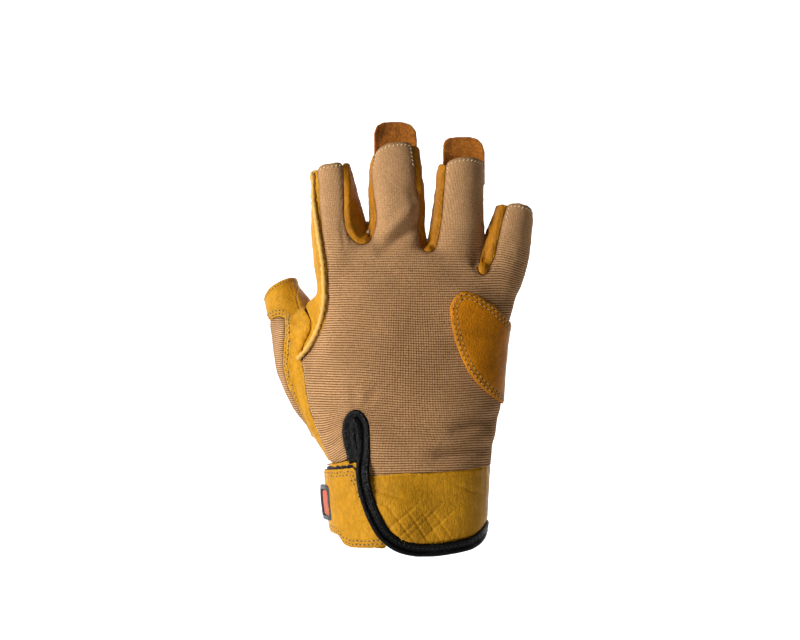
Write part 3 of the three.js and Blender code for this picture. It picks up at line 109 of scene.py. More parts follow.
# Folds of the back and the thumb in the front view, from x, z to another. Depth below zero is a hollow
FOLD_COLUMNS = ("x", "z", "to_x", "to_z", "width", "depth")
FOLDS = (
    (-11.5, 141, 5, 152.5, 3, -2.5),
    (-12, 146.5, 4, 162.5, 2.8, 1.9),
    (5.5, 148, 2, 170, 2.4, -0.9),
    (-29, 69.5, -41, 72.5, 1.7, -0.9),
    (-29, 65.5, -42, 64.5, 1.6, -0.9),
    (-30, 60.5, -40.5, 55.5, 1.7, -1),
    (-29.5, 54.5, -37.5, 48, 1.6, -0.9),
    (-27, 49.5, -33.5, 43.5, 1.5, -0.7),
    (-24, 69.5, -25.5, 78, 2.2, -0.8),
    (-20, 68.5, -15, 76, 2, -0.8),
    (-17, 66, -6, 71, 2.2, -0.8),
    (-15.5, 61, -3, 63.5, 2.4, -0.6),
    (6, 50.5, 41, 56, 3.2, 1.7),
    (14, 46.5, 41, 50, 2, -1.8),
    (22, 58, 44, 64, 2.6, -2),
    (-16, 44.6, 38, 47, 0.8, -0.8),
    (-16, 42, 38, 44.6, 0.7, -0.8),
    (-16, 39.8, 38, 42.4, 0.7, -0.8),
    (33, 124, 47, 117.5, 4.2, -1.6),
    (32.5, 147, 31.5, 132, 2.4, -0.4),
    (13, 140, 27, 127, 4.5, -0.6),
    (-28.5, 158, -26, 144, 1.1, -0.7),
    (-31, 156, -29.3, 142, 1.1, -0.6),
    (-50, 105, -55, 110, 1.1, -0.8),
    (-50.5, 98, -56.5, 100, 1.1, -0.8),
    (-50.5, 91.5, -57, 92.5, 1.1, -0.8),
    (-50.5, 88.5, -57.5, 84.5, 1.1, -0.8),
    (-49, 84, -55.5, 77.5, 1.2, -0.6),
    (-45.1, 104.4, -48.3, 99.2, 0.6, -1),
    (-48.3, 99.2, -50.3, 92.5, 0.6, -1),
    (-44, 103.6, -47, 98.4, 0.8, 0.5),
    (-52.5, 118, -58, 121, 1.1, -0.5),
)

# Creases of the cuff flap, in the same form
FLAP_FOLDS = (
    (-13, 20, -3, 7, 0.6, -0.4),
    (-9, 23, 3, 7, 0.6, -0.4),
    (-14, 9, 5, 25, 0.6, -0.4),
    (-8, 6, 9, 21, 0.6, -0.4),
    (-3, 6, 16, 25, 0.6, -0.35),
    (5, 7, 22, 22, 0.6, -0.35),
    (0, 21, 10, 6, 0.6, -0.35),
    (7, 20, 15, 7, 0.6, -0.3),
    (12, 20, 20, 8, 0.6, -0.3),
    (-16, 31, -2, 27, 1, -0.4),
    (-17, 27, -6, 22, 0.9, -0.35),
    (22, 33, 35, 28, 1.2, -0.4),
)

# The binding's middle line, from the foot of the slit over its end, down the flap and round the cuff
BINDING_PATH = (
    (-24.6, -19.3, 43.1), (-26.3, -18.6, 49.0), (-27.6, -17.8, 55.0), (-27.4, -18.0, 60.1),
    (-26.1, -18.1, 63.3), (-23.9, -18.6, 64.7), (-21.9, -19.1, 63.3), (-20.5, -20.0, 60.1),
    (-20.0, -20.3, 54.6), (-20.0, -21.1, 49.0), (-20.8, -21.4, 44.0), (-21.2, -23.7, 38.5),
    (-20.4, -25.9, 32.1), (-18.6, -26.3, 25.2), (-15.7, -27.2, 17.9), (-11.3, -27.7, 10.6),
    (-5.0, -27.3, 5.6), (2.4, -25.3, 3.2), (8.4, -23.1, 2.7), (13.7, -22.6, 2.9),
    (19.5, -21.3, 3.6), (25.1, -19.1, 4.5), (29.8, -15.9, 5.7), (33.6, -11.4, 8.1),
    (35.7, -5.9, 10.6), (36.3, 1.2, 11.9), (35.1, 8.8, 12.4), (30.1, 16.2, 11.9),
    (22.8, 20.6, 10.8), (15.3, 22.6, 9.8), (8.1, 23.3, 9.2), (1.5, 23.5, 8.7), (-5.4, 23.5, 8.1),
)
BINDING_WIDTH = 5.6
BINDING_THICKNESS = 3.0
BAND_REACH = 0.9  # how far the flat band runs over the flap past the frame's strip
LOOP_LENGTH = 46  # how much of the path runs round the slit, where the two rolls meet
LOOP_SWELL = 1.7  # how much wider the roll is there
BINDING_STEP = 0.6

# The binding's section, across and up as shares of its width and thickness: a roll, then a flat sewn band
BINDING_SECTION = (
    (-0.5, -0.1), (-0.49, 0.18), (-0.42, 0.4), (-0.3, 0.5), (-0.16, 0.45), (-0.06, 0.28),
    (-0.01, 0.1), (0.06, 0.16), (0.2, 0.22), (0.36, 0.2), (0.47, 0.12), (0.5, -0.04),
    (0.44, -0.3), (0.15, -0.48), (-0.25, -0.48), (-0.44, -0.34),
)

# The rolled seam's middle line, from its end below the thumb's web up the index finger
WELT_PATH = (
    (-51.6, 0.8, 89.9), (-51.0, 0.4, 90.9), (-47.6, -1.4, 94.6), (-44.1, -3.2, 100.2), (-41.4, -6.1, 106.2),
    (-39.6, -9.0, 112.5), (-38.9, -10.1, 119.0), (-39.0, -11.1, 125.6), (-39.3, -12.0, 132.3),
    (-40.1, -12.1, 138.9), (-41.2, -11.7, 145.5), (-42.2, -10.9, 152.1), (-43.2, -9.2, 158.7),
    (-44.1, -7.1, 165.3), (-44.3, -5.7, 171.9), (-44.8, -4.2, 178.0),
)

# Distances from the edge at which the patch and the strap are sewn, and the grooves the thread pulls in
PATCH_ROWS = (1.4, 3.1)
STRAP_ROWS = (1.5, 3.1)
STRAP_GROOVES = (1.4, 3.0)
GROOVE_WIDTH = 0.45

RIB_PITCH = 1.13
COLUMN_PITCH = 1.07
INSET_RIB_PITCH = 0.95
WAFFLE_MIDDLE = (4.0, 95.0)  # x and z about which the cloth's columns are as strong as its ribs
WAFFLE_REACH = (27.0, 48.0)
FUZZ_FROM = 132.0  # z above which the ribs fade into fuzz

ROLLED_LEATHER = (0.68, 0.39, 0.085)
BLACK_THREAD = (0.012, 0.012, 0.012)
BADGE_SEAT = (0.9, -0.2, 0)  # how far the badge is pressed into the strap
BADGE_TURN = math.radians(10)  # and turned on it, as the strap bends under its front end
BADGE_HALF = (7.5, 8.25)
BADGE_RIDGES = 5.5

CAMERA_PLACE = (-3.68, -1200, 108.56)
CAMERA_LENS = 115.6
FLOOR_LEVEL = -70
FLOOR_SIDE = 4  # metres from the middle to the floor's sides
FLOOR_FRONT = -5
BACKDROP = ((1.2, 0.0), (1.55, 0.06), (1.78, 0.22), (1.88, 0.5), (1.9, 3.4))  # y and height over the floor
GLOW_FROM = 60.0  # the paper behind the glove is lit from here
GLOW_TO = 255.0
KEY_PLACE = (-0.71, -0.48, 0.37)
FILL_PLACE = (0.9, -0.9, 0.2)


def length(name, description, default, least, most):
    """A length given in millimetres."""
    return FloatProperty(
        name=name, description=description, default=default * MM, min=least * MM, max=most * MM, unit="LENGTH"
    )


class GloveSizes(bpy.types.PropertyGroup):
    """Sizes of the glove's sheets, seams and stitches"""

    wall: length("Leather and cloth", "Thickness of the sheets that make up the hand", 1.5, 0.5, 3)
    overlay: length("Sewn-on leather", "Thickness of the edge patch", 1.4, 0.5, 3)
    seam_sink: length("Seam depth", "How far the sheets dip where they are sewn together", 0.55, 0, 1.5)
    seam_gap: length("Seam gap", "Half of the open line between two sheets", 0.1, 0.02, 0.5)
    fold_strength: FloatProperty(
        name="Folds",
        description="Share of the folds' and creases' full depth",
        default=1,
        min=0,
        max=2,
        subtype="FACTOR",
    )
    welt_width: length("Rolled seam", "Thickness of the rolled seam along the index finger", 2, 1, 4)
    stitch_length: length("Stitch", "Length of one stitch of thread", 1.7, 0.5, 4)
    stitch_width: length("Thread", "Thickness of the sewing thread", 0.55, 0.2, 1.5)
    stitch_pitch: length("Stitch pitch", "Distance from one stitch to the next", 2.5, 1, 6)


def colour(name, description, default):
    return FloatVectorProperty(
        name=name, description=description, default=default, min=0, max=1, size=3, subtype="COLOR"
    )


class GloveColours(bpy.types.PropertyGroup):
    """Colours of the glove's materials"""

    cloth: colour("Cloth", "Ribs of the stretch cloth", (0.53, 0.3, 0.138))
    cloth_shade: colour("Cloth gaps", "Gaps between the cloth's ribs", (0.1, 0.037, 0.009))
    leather: colour("Palm leather", "Smooth leather of the palm, thumb, cuff and strap", (0.56, 0.257, 0.011))
    gusset: colour("Gusset leather", "Leather between the fingers", (0.43, 0.165, 0.008))
    patch: colour("Patch leather", "Leather of the edge patch", (0.47, 0.16, 0.003))
    flesh: colour("Leather's inside", "Rough inner side of the leather", (0.5, 0.36, 0.2))
    suede: colour("Pull tabs", "Suede of the pull tabs", (0.36, 0.115, 0.01))
    binding: colour("Binding", "Black leather of the binding", (0.0012, 0.0012, 0.001))
    lining: colour("Lining", "Pile lining of the strap", (0.003, 0.003, 0.0035))
    thread: colour("Thread", "Gold sewing thread", (0.6, 0.36, 0.1))
    hem_thread: colour("Hem thread", "Pale thread of the finger hems", (0.9, 0.7, 0.4))
    badge_frame: colour("Badge frame", "Ridged rubber of the badge's frame", (0.02, 0.022, 0.023))
    badge_face: colour("Badge face", "Plain face of the badge", (0.5, 0.06, 0.006))
    floor: colour("Floor", "Floor and backdrop", (0.95, 0.95, 0.95))


def power(name, description, default):
    return FloatProperty(
        name=name, description=description, default=default, min=0, max=200, subtype="POWER", unit="POWER"
    )


class GloveLight(bpy.types.PropertyGroup):
    """Strength of the studio light"""

    key: power("Key light", "Soft light from the upper left", 9.3)
    fill: power("Fill light", "Soft light from the right", 0.05)
    room: FloatProperty(
        name="Room light",
        description="Even light from all round",
        default=0.055,
        min=0,
        max=5,
        subtype="FACTOR",
    )


def positions(mesh):
    """A mesh's points in millimetres."""
    co = np.empty(len(mesh.vertices) * 3)
    mesh.vertices.foreach_get("co", co)
    return co.reshape(-1, 3) / MM


def place(mesh, co):
    mesh.vertices.foreach_set("co", (co * MM).ravel())
    mesh.update()


def triangles(mesh):
    corners = np.empty(len(mesh.polygons) * 3, np.int64)
    mesh.polygons.foreach_get("vertices", corners)
    return corners.reshape(-1, 3)


def edge_ends(mesh):
    ends = np.empty(len(mesh.edges) * 2, np.int64)
    mesh.edges.foreach_get("vertices", ends)
    return ends.reshape(-1, 2)


def spread(values, ends, rounds, share=0.5):
    """Values evened out over a mesh's edges, round by round."""
    made = np.array(values, float)
    columns = made.reshape(len(made), -1)
    count = np.maximum(np.bincount(ends.ravel(), minlength=len(columns)), 1)
    for _ in range(rounds):
        for k in range(columns.shape[1]):
            near = np.bincount(ends[:, 0], columns[ends[:, 1], k], len(columns))
            near += np.bincount(ends[:, 1], columns[ends[:, 0], k], len(columns))
            columns[:, k] += share * (near / count - columns[:, k])
    return columns.reshape(made.shape)


def facings(co, corners):
    """Unit normals at the points."""
    a, b, c = (co[corners[:, k]] for k in range(3))
    flat = np.cross(b - a, c - a)
    total = np.zeros_like(co)
    for k in range(3):
        for axis in range(3):
            total[:, axis] += np.bincount(corners[:, k], flat[:, axis], len(co))
    return total / np.maximum(np.linalg.norm(total, axis=1, keepdims=True), 1e-9)


def remeshed(bm, voxel):
    """One even skin of triangles round closed solids, as a mesh."""
    source = bpy.data.meshes.new("source")
    bm.to_mesh(source)
    bm.free()
    holder = bpy.data.objects.new("source", source)
    bpy.context.scene.collection.objects.link(holder)
    remesh = holder.modifiers.new("Even skin", "REMESH")
    remesh.mode = "VOXEL"
    remesh.voxel_size = voxel * MM
    made = bpy.data.meshes.new_from_object(holder.evaluated_get(bpy.context.evaluated_depsgraph_get()))
    bpy.data.objects.remove(holder)
    bpy.data.meshes.remove(source)
    even = bmesh.new()
    even.from_mesh(made)
    bmesh.ops.triangulate(even, faces=even.faces)
    even.to_mesh(made)
    even.free()
    return made


def add_hull(bm, points):
    hull = bmesh.new()
    for point in points:
        hull.verts.new(point * MM)
    made = bmesh.ops.convex_hull(hull, input=hull.verts)
    inner = {part for part in made["geom_interior"] if isinstance(part, bmesh.types.BMVert)}
    bmesh.ops.delete(hull, geom=list(inner), context="VERTS")
    mesh = bpy.data.meshes.new("hull")
    hull.to_mesh(mesh)
    hull.free()
    bm.from_mesh(mesh)
    bpy.data.meshes.remove(mesh)


def rim_points(points, along):
    """The points furthest along a direction, in each sector round it."""
    axis = np.array(along) / np.linalg.norm(along)
    side = np.cross(axis, (0, 1, 0))
    other = np.cross(side, axis)
    away = points - points.mean(axis=0)
    turn = np.arctan2(away @ other, away @ side) / (2 * np.pi)
    sector = np.floor(turn * RIM_SECTORS)
    rim = []
    for one in np.unique(sector):
        mine = points[sector == one]
        rim.append(mine[np.argmax(mine @ axis)])
    return np.array(rim)


def fold_lift(co, rows):
    """How far a table of folds lifts each point."""
    lift = np.zeros(len(co))
    for values in rows:
        row = dict(zip(FOLD_COLUMNS, values))
        run = np.array([row["to_x"] - row["x"], row["to_z"] - row["z"]])
        place_x = co[:, 0] - row["x"]
        place_z = co[:, 2] - row["z"]
        along = (place_x * run[0] + place_z * run[1]) / (run @ run)
        near = np.clip(along, 0, 1)
        away = np.hypot(place_x - near * run[0], place_z - near * run[1])
        fade = 0.35 + 0.65 * np.sin(np.pi * np.clip(near * 0.86 + 0.07, 0, 1))
        lift += row["depth"] * fade * np.exp(-((away / row["width"]) ** 2))
    return lift


def noise_lift(co, size, stretch=(1, 1, 1)):
    """Soft noise from -1 to 1, of a size in millimetres."""
    scaled = co / (size * np.array(stretch))
    return np.array([noise.noise(point) for point in scaled])


def crease_lift(co, size, width, stretch=(1, 1, 1)):
    """Narrow lines, 1 along each and 0 away from it, where soft noise crosses zero."""
    soft = noise_lift(co + 50, size, stretch)
    gate = np.clip(noise_lift(co - 90, 2.2 * size) * 2 + 0.4, 0, 1)
    return np.clip(1 - np.abs(soft) / width, 0, 1) ** 1.5 * gate


def distances(co, node, reach=REACH):
    """Each point's distance from a CAD node's surface, up to the reach."""
    low, high = (np.array(corner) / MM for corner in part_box(node))
    found = np.full(len(co), float(reach))
    near = np.all((co > low - reach) & (co < high + reach), axis=1)
    mesh = NODES[node].data
    tree = BVHTree.FromPolygons(positions(mesh).tolist(), [tuple(face.vertices) for face in mesh.polygons])
    for index in np.nonzero(near)[0]:
        gap = tree.find_nearest(co[index], reach)[3]
        if gap is not None:
            found[index] = gap
    return found


class Form:
    """The whole hand as one skin, and what each panel reads from it."""

    def __init__(self, sizes):
        bm = bmesh.new()
        places = {}
        for node in BASE_NODES:
            bm.from_mesh(NODES[node].data)
            places[node] = positions(NODES[node].data)
        bmesh.ops.remove_doubles(bm, verts=bm.verts, dist=0.001 * MM)
        everywhere = np.concatenate(list(places.values()))
        for end in FINGER_ENDS:
            chosen = everywhere[
                (everywhere[:, 0] > end["x_from"])
                & (everywhere[:, 0] < end["x_to"])
                & (everywhere[:, 2] > end["z_from"])
            ]
            rim = rim_points(chosen, end["points"])
            add_hull(bm, np.concatenate([rim, rim + np.array(end["points"])]))
        points = np.array(THUMB_POINTS)
        thumb = np.concatenate([places["thumb_back"], places["thumb_front"]])
        chosen = thumb[thumb @ points > (thumb @ points).max() - THUMB_END_LENGTH]
        rim = rim_points(chosen, points)
        add_hull(bm, np.concatenate([rim, rim + 8 * points]))
        palm = places["palm_panel"]
        back = places["back_panel"]
        cuff = np.concatenate([palm[palm[:, 2] < CUFF_FILL_TOP], back[back[:, 2] < CUFF_FILL_TOP]])
        add_hull(bm, np.concatenate([cuff, cuff - np.array((0, 0, 8))]))
        by_slit = (back[:, 0] > SLIT_FILL["x_from"]) & (back[:, 0] < SLIT_FILL["x_to"])
        add_hull(bm, back[by_slit & (back[:, 2] < SLIT_FILL["z_to"])])

        self.mesh = remeshed(bm, FORM_VOXEL)
        self.ends = edge_ends(self.mesh)
        self.corners = triangles(self.mesh)
        self.base = spread(positions(self.mesh), self.ends, 26)
        self.normals = spread(facings(self.base, self.corners), self.ends, 4)
        self.normals /= np.linalg.norm(self.normals, axis=1, keepdims=True)
        self.gaps = {node: spread(distances(self.base, node), self.ends, 4) for node in BASE_NODES}
        x, z = self.base[:, 0], self.base[:, 2]
        at_opening = (z > 160) | ((x > 30) & (z > 148)) | (z < 80) | (x < -42)
        near = np.min(list(self.gaps.values()), axis=0)
        self.off_frame = near - np.where(at_opening, RIM_REACH, CROTCH_REACH)
        self.moved = {}
        for row in MOVED_SEAMS:
            away = ((self.base - row["middle"]) ** 2).sum(axis=1)
            share = np.exp(-away / row["reach"] ** 2) * np.clip(-self.normals[:, 1] * 2 + 0.6, 0, 1)
            share *= np.clip(self.gaps["thumb_insert"] / 3 - 1, 0, 1)
            self.moved[row["grows"]] = self.moved.get(row["grows"], 0) - row["shift"] * share
            self.moved[row["yields"]] = self.moved.get(row["yields"], 0) + row["shift"] * share
        self.patch_gap = spread(distances(self.base, "edge_patch"), self.ends, 3)
        self.shaped = self.base + self.normals * self.lift(sizes)[:, None]
        place(self.mesh, self.shaped)
        self.mesh.attributes.new("field", "FLOAT", "POINT")

    def own(self, node):
        """Below zero on a node's own part of the skin, and its distance from the next one."""
        others = np.min([gap for name, gap in self.gaps.items() if name != node], axis=0)
        return self.gaps[node] - others + self.moved.get(node, 0)

    def lift(self, sizes):
        """The height of the seams, folds and creases over the plain form."""
        stack = np.sort(np.array(list(self.gaps.values())), axis=0)
        from_seam = stack[1] - stack[0]
        cloth = np.clip(0.5 - np.minimum(*(self.own(node) for node in CLOTHS)), 0, 1)
        gusset = np.clip(0.5 - np.min([self.own(node) for node in GUSSETS], axis=0), 0, 1)
        facing = np.clip(-self.normals[:, 1] * 1.6 + 0.25, 0, 1)
        strength = sizes.fold_strength
        lift = -sizes.seam_sink / MM * np.exp(-((from_seam / 1.3) ** 2))
        lift += 0.35 * np.exp(-(((from_seam - 2.4) / 1.5) ** 2)) * (1 - cloth)
        lift += 0.8 * gusset * np.exp(-(((from_seam - 1.7) / 1.1) ** 2)) * facing
        lift += strength * facing * fold_lift(self.base, FOLDS)
        lift += strength * 0.3 * noise_lift(self.base, 16)
        leather = 1 - cloth
        lift += strength * leather * 0.3 * noise_lift(self.base, 6.5, (1, 1, 0.7))
        lift -= strength * leather * 0.4 * crease_lift(self.base, 9, 0.12, (1, 1, 0.6))
        lift -= strength * cloth * 0.12 * crease_lift(self.base, 14, 0.2)
        return spread(lift, self.ends, 1)


shared = {}


def form():
    if "form" not in shared:
        shared["form"] = Form(bpy.context.scene.glove_sizes)
    return shared["form"]


def cut_along(bm, layer):
    """Keeps what lies where the field is below zero, with a clean edge along its zero line."""
    nearest = {}
    for edge in bm.edges:
        first, last = edge.verts
        if first[layer] * last[layer] >= 0:
            continue
        share = first[layer] / (first[layer] - last[layer])
        vert, part = (first, share) if share < 0.5 else (last, 1 - share)
        if part < 0.32 and part < nearest.get(vert, (1,))[0]:
            nearest[vert] = (part, first.co.lerp(last.co, share))
    for vert, (_, target) in nearest.items():
        vert.co = target
        vert[layer] = 0
    for edge in [edge for edge in bm.edges if edge.verts[0][layer] * edge.verts[1][layer] < 0]:
        first, last = edge.verts
        _, vert = bmesh.utils.edge_split(edge, first, first[layer] / (first[layer] - last[layer]))
        vert[layer] = 0
    bmesh.ops.connect_verts(bm, verts=[vert for vert in bm.verts if vert[layer] == 0])
    bmesh.ops.delete(bm, geom=[vert for vert in bm.verts if vert[layer] > 0], context="VERTS")
    for _ in range(2):
        ears = [face for face in bm.faces if sum(edge.is_boundary for edge in face.edges) > 1]
        bmesh.ops.delete(bm, geom=ears, context="FACES")
    loose = [vert for vert in bm.verts if not vert.link_faces]
    bmesh.ops.delete(bm, geom=loose, context="VERTS")


def even_rim(bm, rounds):
    """Evens out the open edges along their own run."""
    for _ in range(rounds):
        moves = []
        for vert in bm.verts:
            if not vert.is_boundary:
                continue
            near = [edge.other_vert(vert).co for edge in vert.link_edges if edge.is_boundary]
            if len(near) == 2:
                moves.append((vert, vert.co * 0.5 + (near[0] + near[1]) * 0.25))
        for vert, co in moves:
            vert.co = co


def keep_large(bm, least=150):
    """Removes every loose bit with few points."""
    left = set(bm.verts)
    groups = []
    while left:
        start = left.pop()
        group = {start}
        queue = [start]
        while queue:
            for edge in queue.pop().link_edges:
                for vert in edge.verts:
                    if vert not in group:
                        group.add(vert)
                        queue.append(vert)
        left -= group
        groups.append(group)
    loose = [vert for group in groups if len(group) < least for vert in group]
    bmesh.ops.delete(bm, geom=loose, context="VERTS")


def edge_field(bm):
    """Stores each point's distance from the nearest open edge, in millimetres."""
    rim = []
    for edge in bm.edges:
        if edge.is_boundary:
            first, last = (vert.co for vert in edge.verts)
            rim += [first, (first + last) / 2]
    tree = KDTree(len(rim))
    for index, point in enumerate(rim):
        tree.insert(point, index)
    tree.balance()
    layer = bm.verts.layers.float.get("edge") or bm.verts.layers.float.new("edge")
    for vert in bm.verts:
        vert[layer] = tree.find(vert.co)[2] / MM
    return layer


def piece_from(bm, name, materials, stands_for=None, wall=None):
    """A shown piece that rides on the glove, from a bmesh in metres."""
    mesh = bpy.data.meshes.new(name)
    bm.to_mesh(mesh)
    bm.free()
    mesh.shade_smooth()
    for material in materials:
        mesh.materials.append(material)
    piece = bpy.data.objects.new(name, mesh)
    bpy.context.scene.collection.objects.link(piece)
    if wall:
        solidify = piece.modifiers.new("Wall", "SOLIDIFY")
        solidify.thickness = wall
        solidify.offset = -1
        solidify.material_offset = 1
    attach(piece, "root")
    if stands_for:
        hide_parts(stands_for)
    return piece


def weave_field(bm):
    """Stores the cloth's own coordinates: round the hand, and up it along the bending ribs."""
    layer = bm.verts.layers.float_vector.new("weave")
    for vert in bm.verts:
        x, y, z = vert.co / MM
        round_hand = x + max(-1, min(1, x / 18)) * (y + 18)
        up = z - 7 * math.exp(-(((x + 27) / 8) ** 2)) * max(0, min(1, (70 - z) / 14)) * (x < -18)
        up += 0.28 * max(0, x - 43) * max(0, min(1, (z - 118) / 10))
        up += 1.4 * math.sin(x / 17 + 0.6) * max(0, 1 - abs(z - 85) / 45)
        vert[layer] = (round_hand, up, 0)


def rows_at(bm, layer, level, wanted=None):
    """Lines of (point, normal) along which a field has a level, as the surface lies."""
    links = {}
    spots = {}
    out = bm.verts.layers.float.get("out")
    for face in bm.faces:
        if out and min(vert[out] for vert in face.verts) < 0.5:
            continue
        crossed = []
        for edge in face.edges:
            first, last = edge.verts
            low, high = first[layer] - level, last[layer] - level
            if (low < 0) != (high < 0):
                crossed.append(edge.index)
                if edge.index not in spots:
                    share = low / (low - high)
                    spots[edge.index] = (first.co.lerp(last.co, share), first.normal.lerp(last.normal, share))
        if len(crossed) == 2:
            for k in range(2):
                links.setdefault(crossed[k], []).append(crossed[1 - k])
    lines = []
    while links:
        start = next((key for key, near in links.items() if len(near) == 1), next(iter(links)))
        line = [start]
        while True:
            near = links.pop(line[-1])
            step = next((key for key in near if key in links), None)
            if step is None:
                break
            line.append(step)
        run = []
        for key in line:
            if wanted is None or wanted(spots[key][0] / MM):
                run.append(spots[key])
            elif run:
                lines.append(run)
                run = []
        if run:
            lines.append(run)
    return [line for line in lines if len(line) > 4]


def evenly(line, pitch):
    """(point, normal, direction) at an even pitch along a line of (point, normal)."""
    points = [spot[0] for spot in line]
    lengths = [0]
    for first, last in zip(points, points[1:]):
        lengths.append(lengths[-1] + (last - first).length)
    spots = []
    count = int(lengths[-1] / pitch)
    index = 0
    for step in range(count):
        target = (step + 0.5) * pitch
        while index < len(lengths) - 2 and lengths[index + 1] < target:
            index += 1
        share = (target - lengths[index]) / max(lengths[index + 1] - lengths[index], 1e-9)
        point = points[index].lerp(points[index + 1], share)
        ahead = points[min(index + 2, len(points) - 1)] - points[max(index - 1, 0)]
        spots.append((point, line[index][1].normalized(), ahead.normalized()))
    return spots


def bead(bm, rings, size, matrix):
    """A small rounded body, for a stitch or a dark bead of painted shade at a needle's prick."""
    made = bmesh.ops.create_uvsphere(bm, u_segments=8, v_segments=rings, radius=0.5)
    bmesh.ops.scale(bm, verts=made["verts"], vec=size)
    bmesh.ops.transform(bm, verts=made["verts"], matrix=matrix)
    return made["verts"]


def sew(bm, line, sizes, prick_shade=True, slant=0.0, length=1.0, width=1.0):
    """Adds a row of stitches along a line: thread in slot 0, and in slot 1 dark beads of painted shade where
    the needle went in.
    """
    thread = sizes.stitch_width * width
    for point, normal, ahead in evenly(line, sizes.stitch_pitch * length):
        side = normal.cross(ahead).normalized()
        ahead = side.cross(normal).normalized()
        turned = (ahead + side * slant).normalized()
        axes = Matrix((turned, normal.cross(turned), normal)).transposed().to_4x4()
        size = (sizes.stitch_length * length, thread, thread * 0.9)
        bead(bm, 5, size, Matrix.Translation(point + normal * (thread * 0.12)) @ axes)
        # Painted shade: a dark flat bead at each stitch's end stands in for the shadow in the needle's prick
        if prick_shade:
            spot = point + ahead * sizes.stitch_pitch * length / 2
            size = (thread * 1.5, thread * 1.35, thread * 0.3)
            verts = bead(bm, 4, size, Matrix.Translation(spot) @ axes)
            for face in {face for vert in verts for face in vert.link_faces}:
                face.material_index = 1


def panel(node, name, materials, wall, field=None, prepare=None):
    """Cuts a node's panel out of the form and makes it a piece."""
    skin = form()
    gap = bpy.context.scene.glove_sizes.seam_gap / MM
    if field is None:
        field = np.maximum(spread(skin.own(node), skin.ends, 3) + gap, skin.off_frame)
    skin.mesh.attributes["field"].data.foreach_set("value", field.astype(np.float32))
    bm = bmesh.new()
    bm.from_mesh(skin.mesh)
    layer = bm.verts.layers.float["field"]
    bmesh.ops.delete(bm, geom=[vert for vert in bm.verts if vert[layer] > 2.5], context="VERTS")
    cut_along(bm, layer)
    keep_large(bm)
    even_rim(bm, 4)
    edge_field(bm)
    if prepare:
        prepare(bm)
    bm.normal_update()
    shared[name] = bm.copy()
    return piece_from(bm, name, materials, node, wall)


def soft_solid(node, voxel, outwards, rounds, swell=0.35):
    """A thin CAD solid with soft rims. Stores each point's distance from its rim and how far it faces out."""
    bm = bmesh.new()
    bm.from_mesh(NODES[node].data)
    bmesh.ops.remove_doubles(bm, verts=bm.verts, dist=0.001 * MM)
    mesh = remeshed(bm, voxel)
    ends = edge_ends(mesh)
    corners = triangles(mesh)
    co = spread(positions(mesh), ends, rounds)
    normals = facings(co, corners)
    out = np.sum(normals * outwards(co), axis=1)
    rim = np.abs(out) < 0.45
    co += normals * (swell * np.clip(1.4 - 2 * np.abs(out), 0, 1))[:, None]
    place(mesh, co)
    tree = KDTree(int(rim.sum()))
    for index, point in enumerate(co[rim]):
        tree.insert(point, index)
    tree.balance()
    away = np.array([tree.find(point)[2] for point in co])
    for name, values in (("edge", away), ("out", out)):
        mesh.attributes.new(name, "FLOAT", "POINT").data.foreach_set("value", values.astype(np.float32))
    bm = bmesh.new()
    bm.from_mesh(mesh)
    bpy.data.meshes.remove(mesh)
    bm.normal_update()
    return bm


def grooves(edge, levels):
    """1 on each sewn row, by the distance from the edge."""
    return sum(math.exp(-(((edge - level) / GROOVE_WIDTH) ** 2)) for level in levels)


def shift(bm, height):
    """Moves each point along its normal by height(point in millimetres, edge distance)."""
    bm.normal_update()
    layer = bm.verts.layers.float["edge"]
    out = bm.verts.layers.float.get("out")
    moves = []
    for vert in bm.verts:
        share = max(0, min(1, vert[out] * 2)) if out else 1
        if share:
            moves.append((vert, vert.normal * share * height(vert.co / MM, vert[layer]) * MM))
    for vert, move in moves:
        vert.co += move
    bm.normal_update()


def round_cuff(co):
    """Outwards from the cuff's own middle."""
    away = co - np.array((1, 0, 0))
    away[:, 2] = 0
    return away / np.linalg.norm(away, axis=1, keepdims=True)


def to_back(co):
    return np.tile((0.0, -1.0, 0.0), (len(co), 1))


def node(tree, kind, inputs=(), **settings):
    """Adds a shader node, with its settings and its inputs' values or links."""
    made = tree.nodes.new(kind)
    for key, value in settings.items():
        setattr(made, key, value)
    for key, value in dict(inputs).items():
        if isinstance(value, bpy.types.NodeSocket):
            tree.links.new(value, made.inputs[key])
        else:
            made.inputs[key].default_value = value
    return made


def maths(tree, operation, first, second=0.0, third=0.0, clamp=False):
    return node(
        tree, "ShaderNodeMath", {0: first, 1: second, 2: third}, operation=operation, use_clamp=clamp
    ).outputs[0]


def blend(tree, share, first, second):
    made = node(tree, "ShaderNodeMix", data_type="RGBA", blend_type="MIX")
    for socket, value in ((made.inputs[0], share), (made.inputs[6], first), (made.inputs[7], second)):
        if isinstance(value, bpy.types.NodeSocket):
            tree.links.new(value, socket)
        else:
            socket.default_value = value
    return made.outputs[2]


def group(name, inputs, outputs):
    """A new node group with (name, type, value) inputs and (name, type) outputs."""
    tree = bpy.data.node_groups.new(name, "ShaderNodeTree")
    for label, kind, value in inputs:
        socket = tree.interface.new_socket(label, in_out="INPUT", socket_type="NodeSocket" + kind)
        if value is not None:
            socket.default_value = value
    for label, kind in outputs:
        tree.interface.new_socket(label, in_out="OUTPUT", socket_type="NodeSocket" + kind)
    start = tree.nodes.new("NodeGroupInput")
    end = tree.nodes.new("NodeGroupOutput")
    return tree, start.outputs, end.inputs


def clouds(tree, inputs):
    """Soft noise about one half."""
    return node(tree, "ShaderNodeTexNoise", inputs).outputs["Fac"]


def millimetres(tree):
    """Object coordinates in millimetres."""
    place = node(tree, "ShaderNodeTexCoord").outputs["Object"]
    return node(tree, "ShaderNodeVectorMath", {0: place, "Scale": 1 / MM}, operation="SCALE").outputs[0]


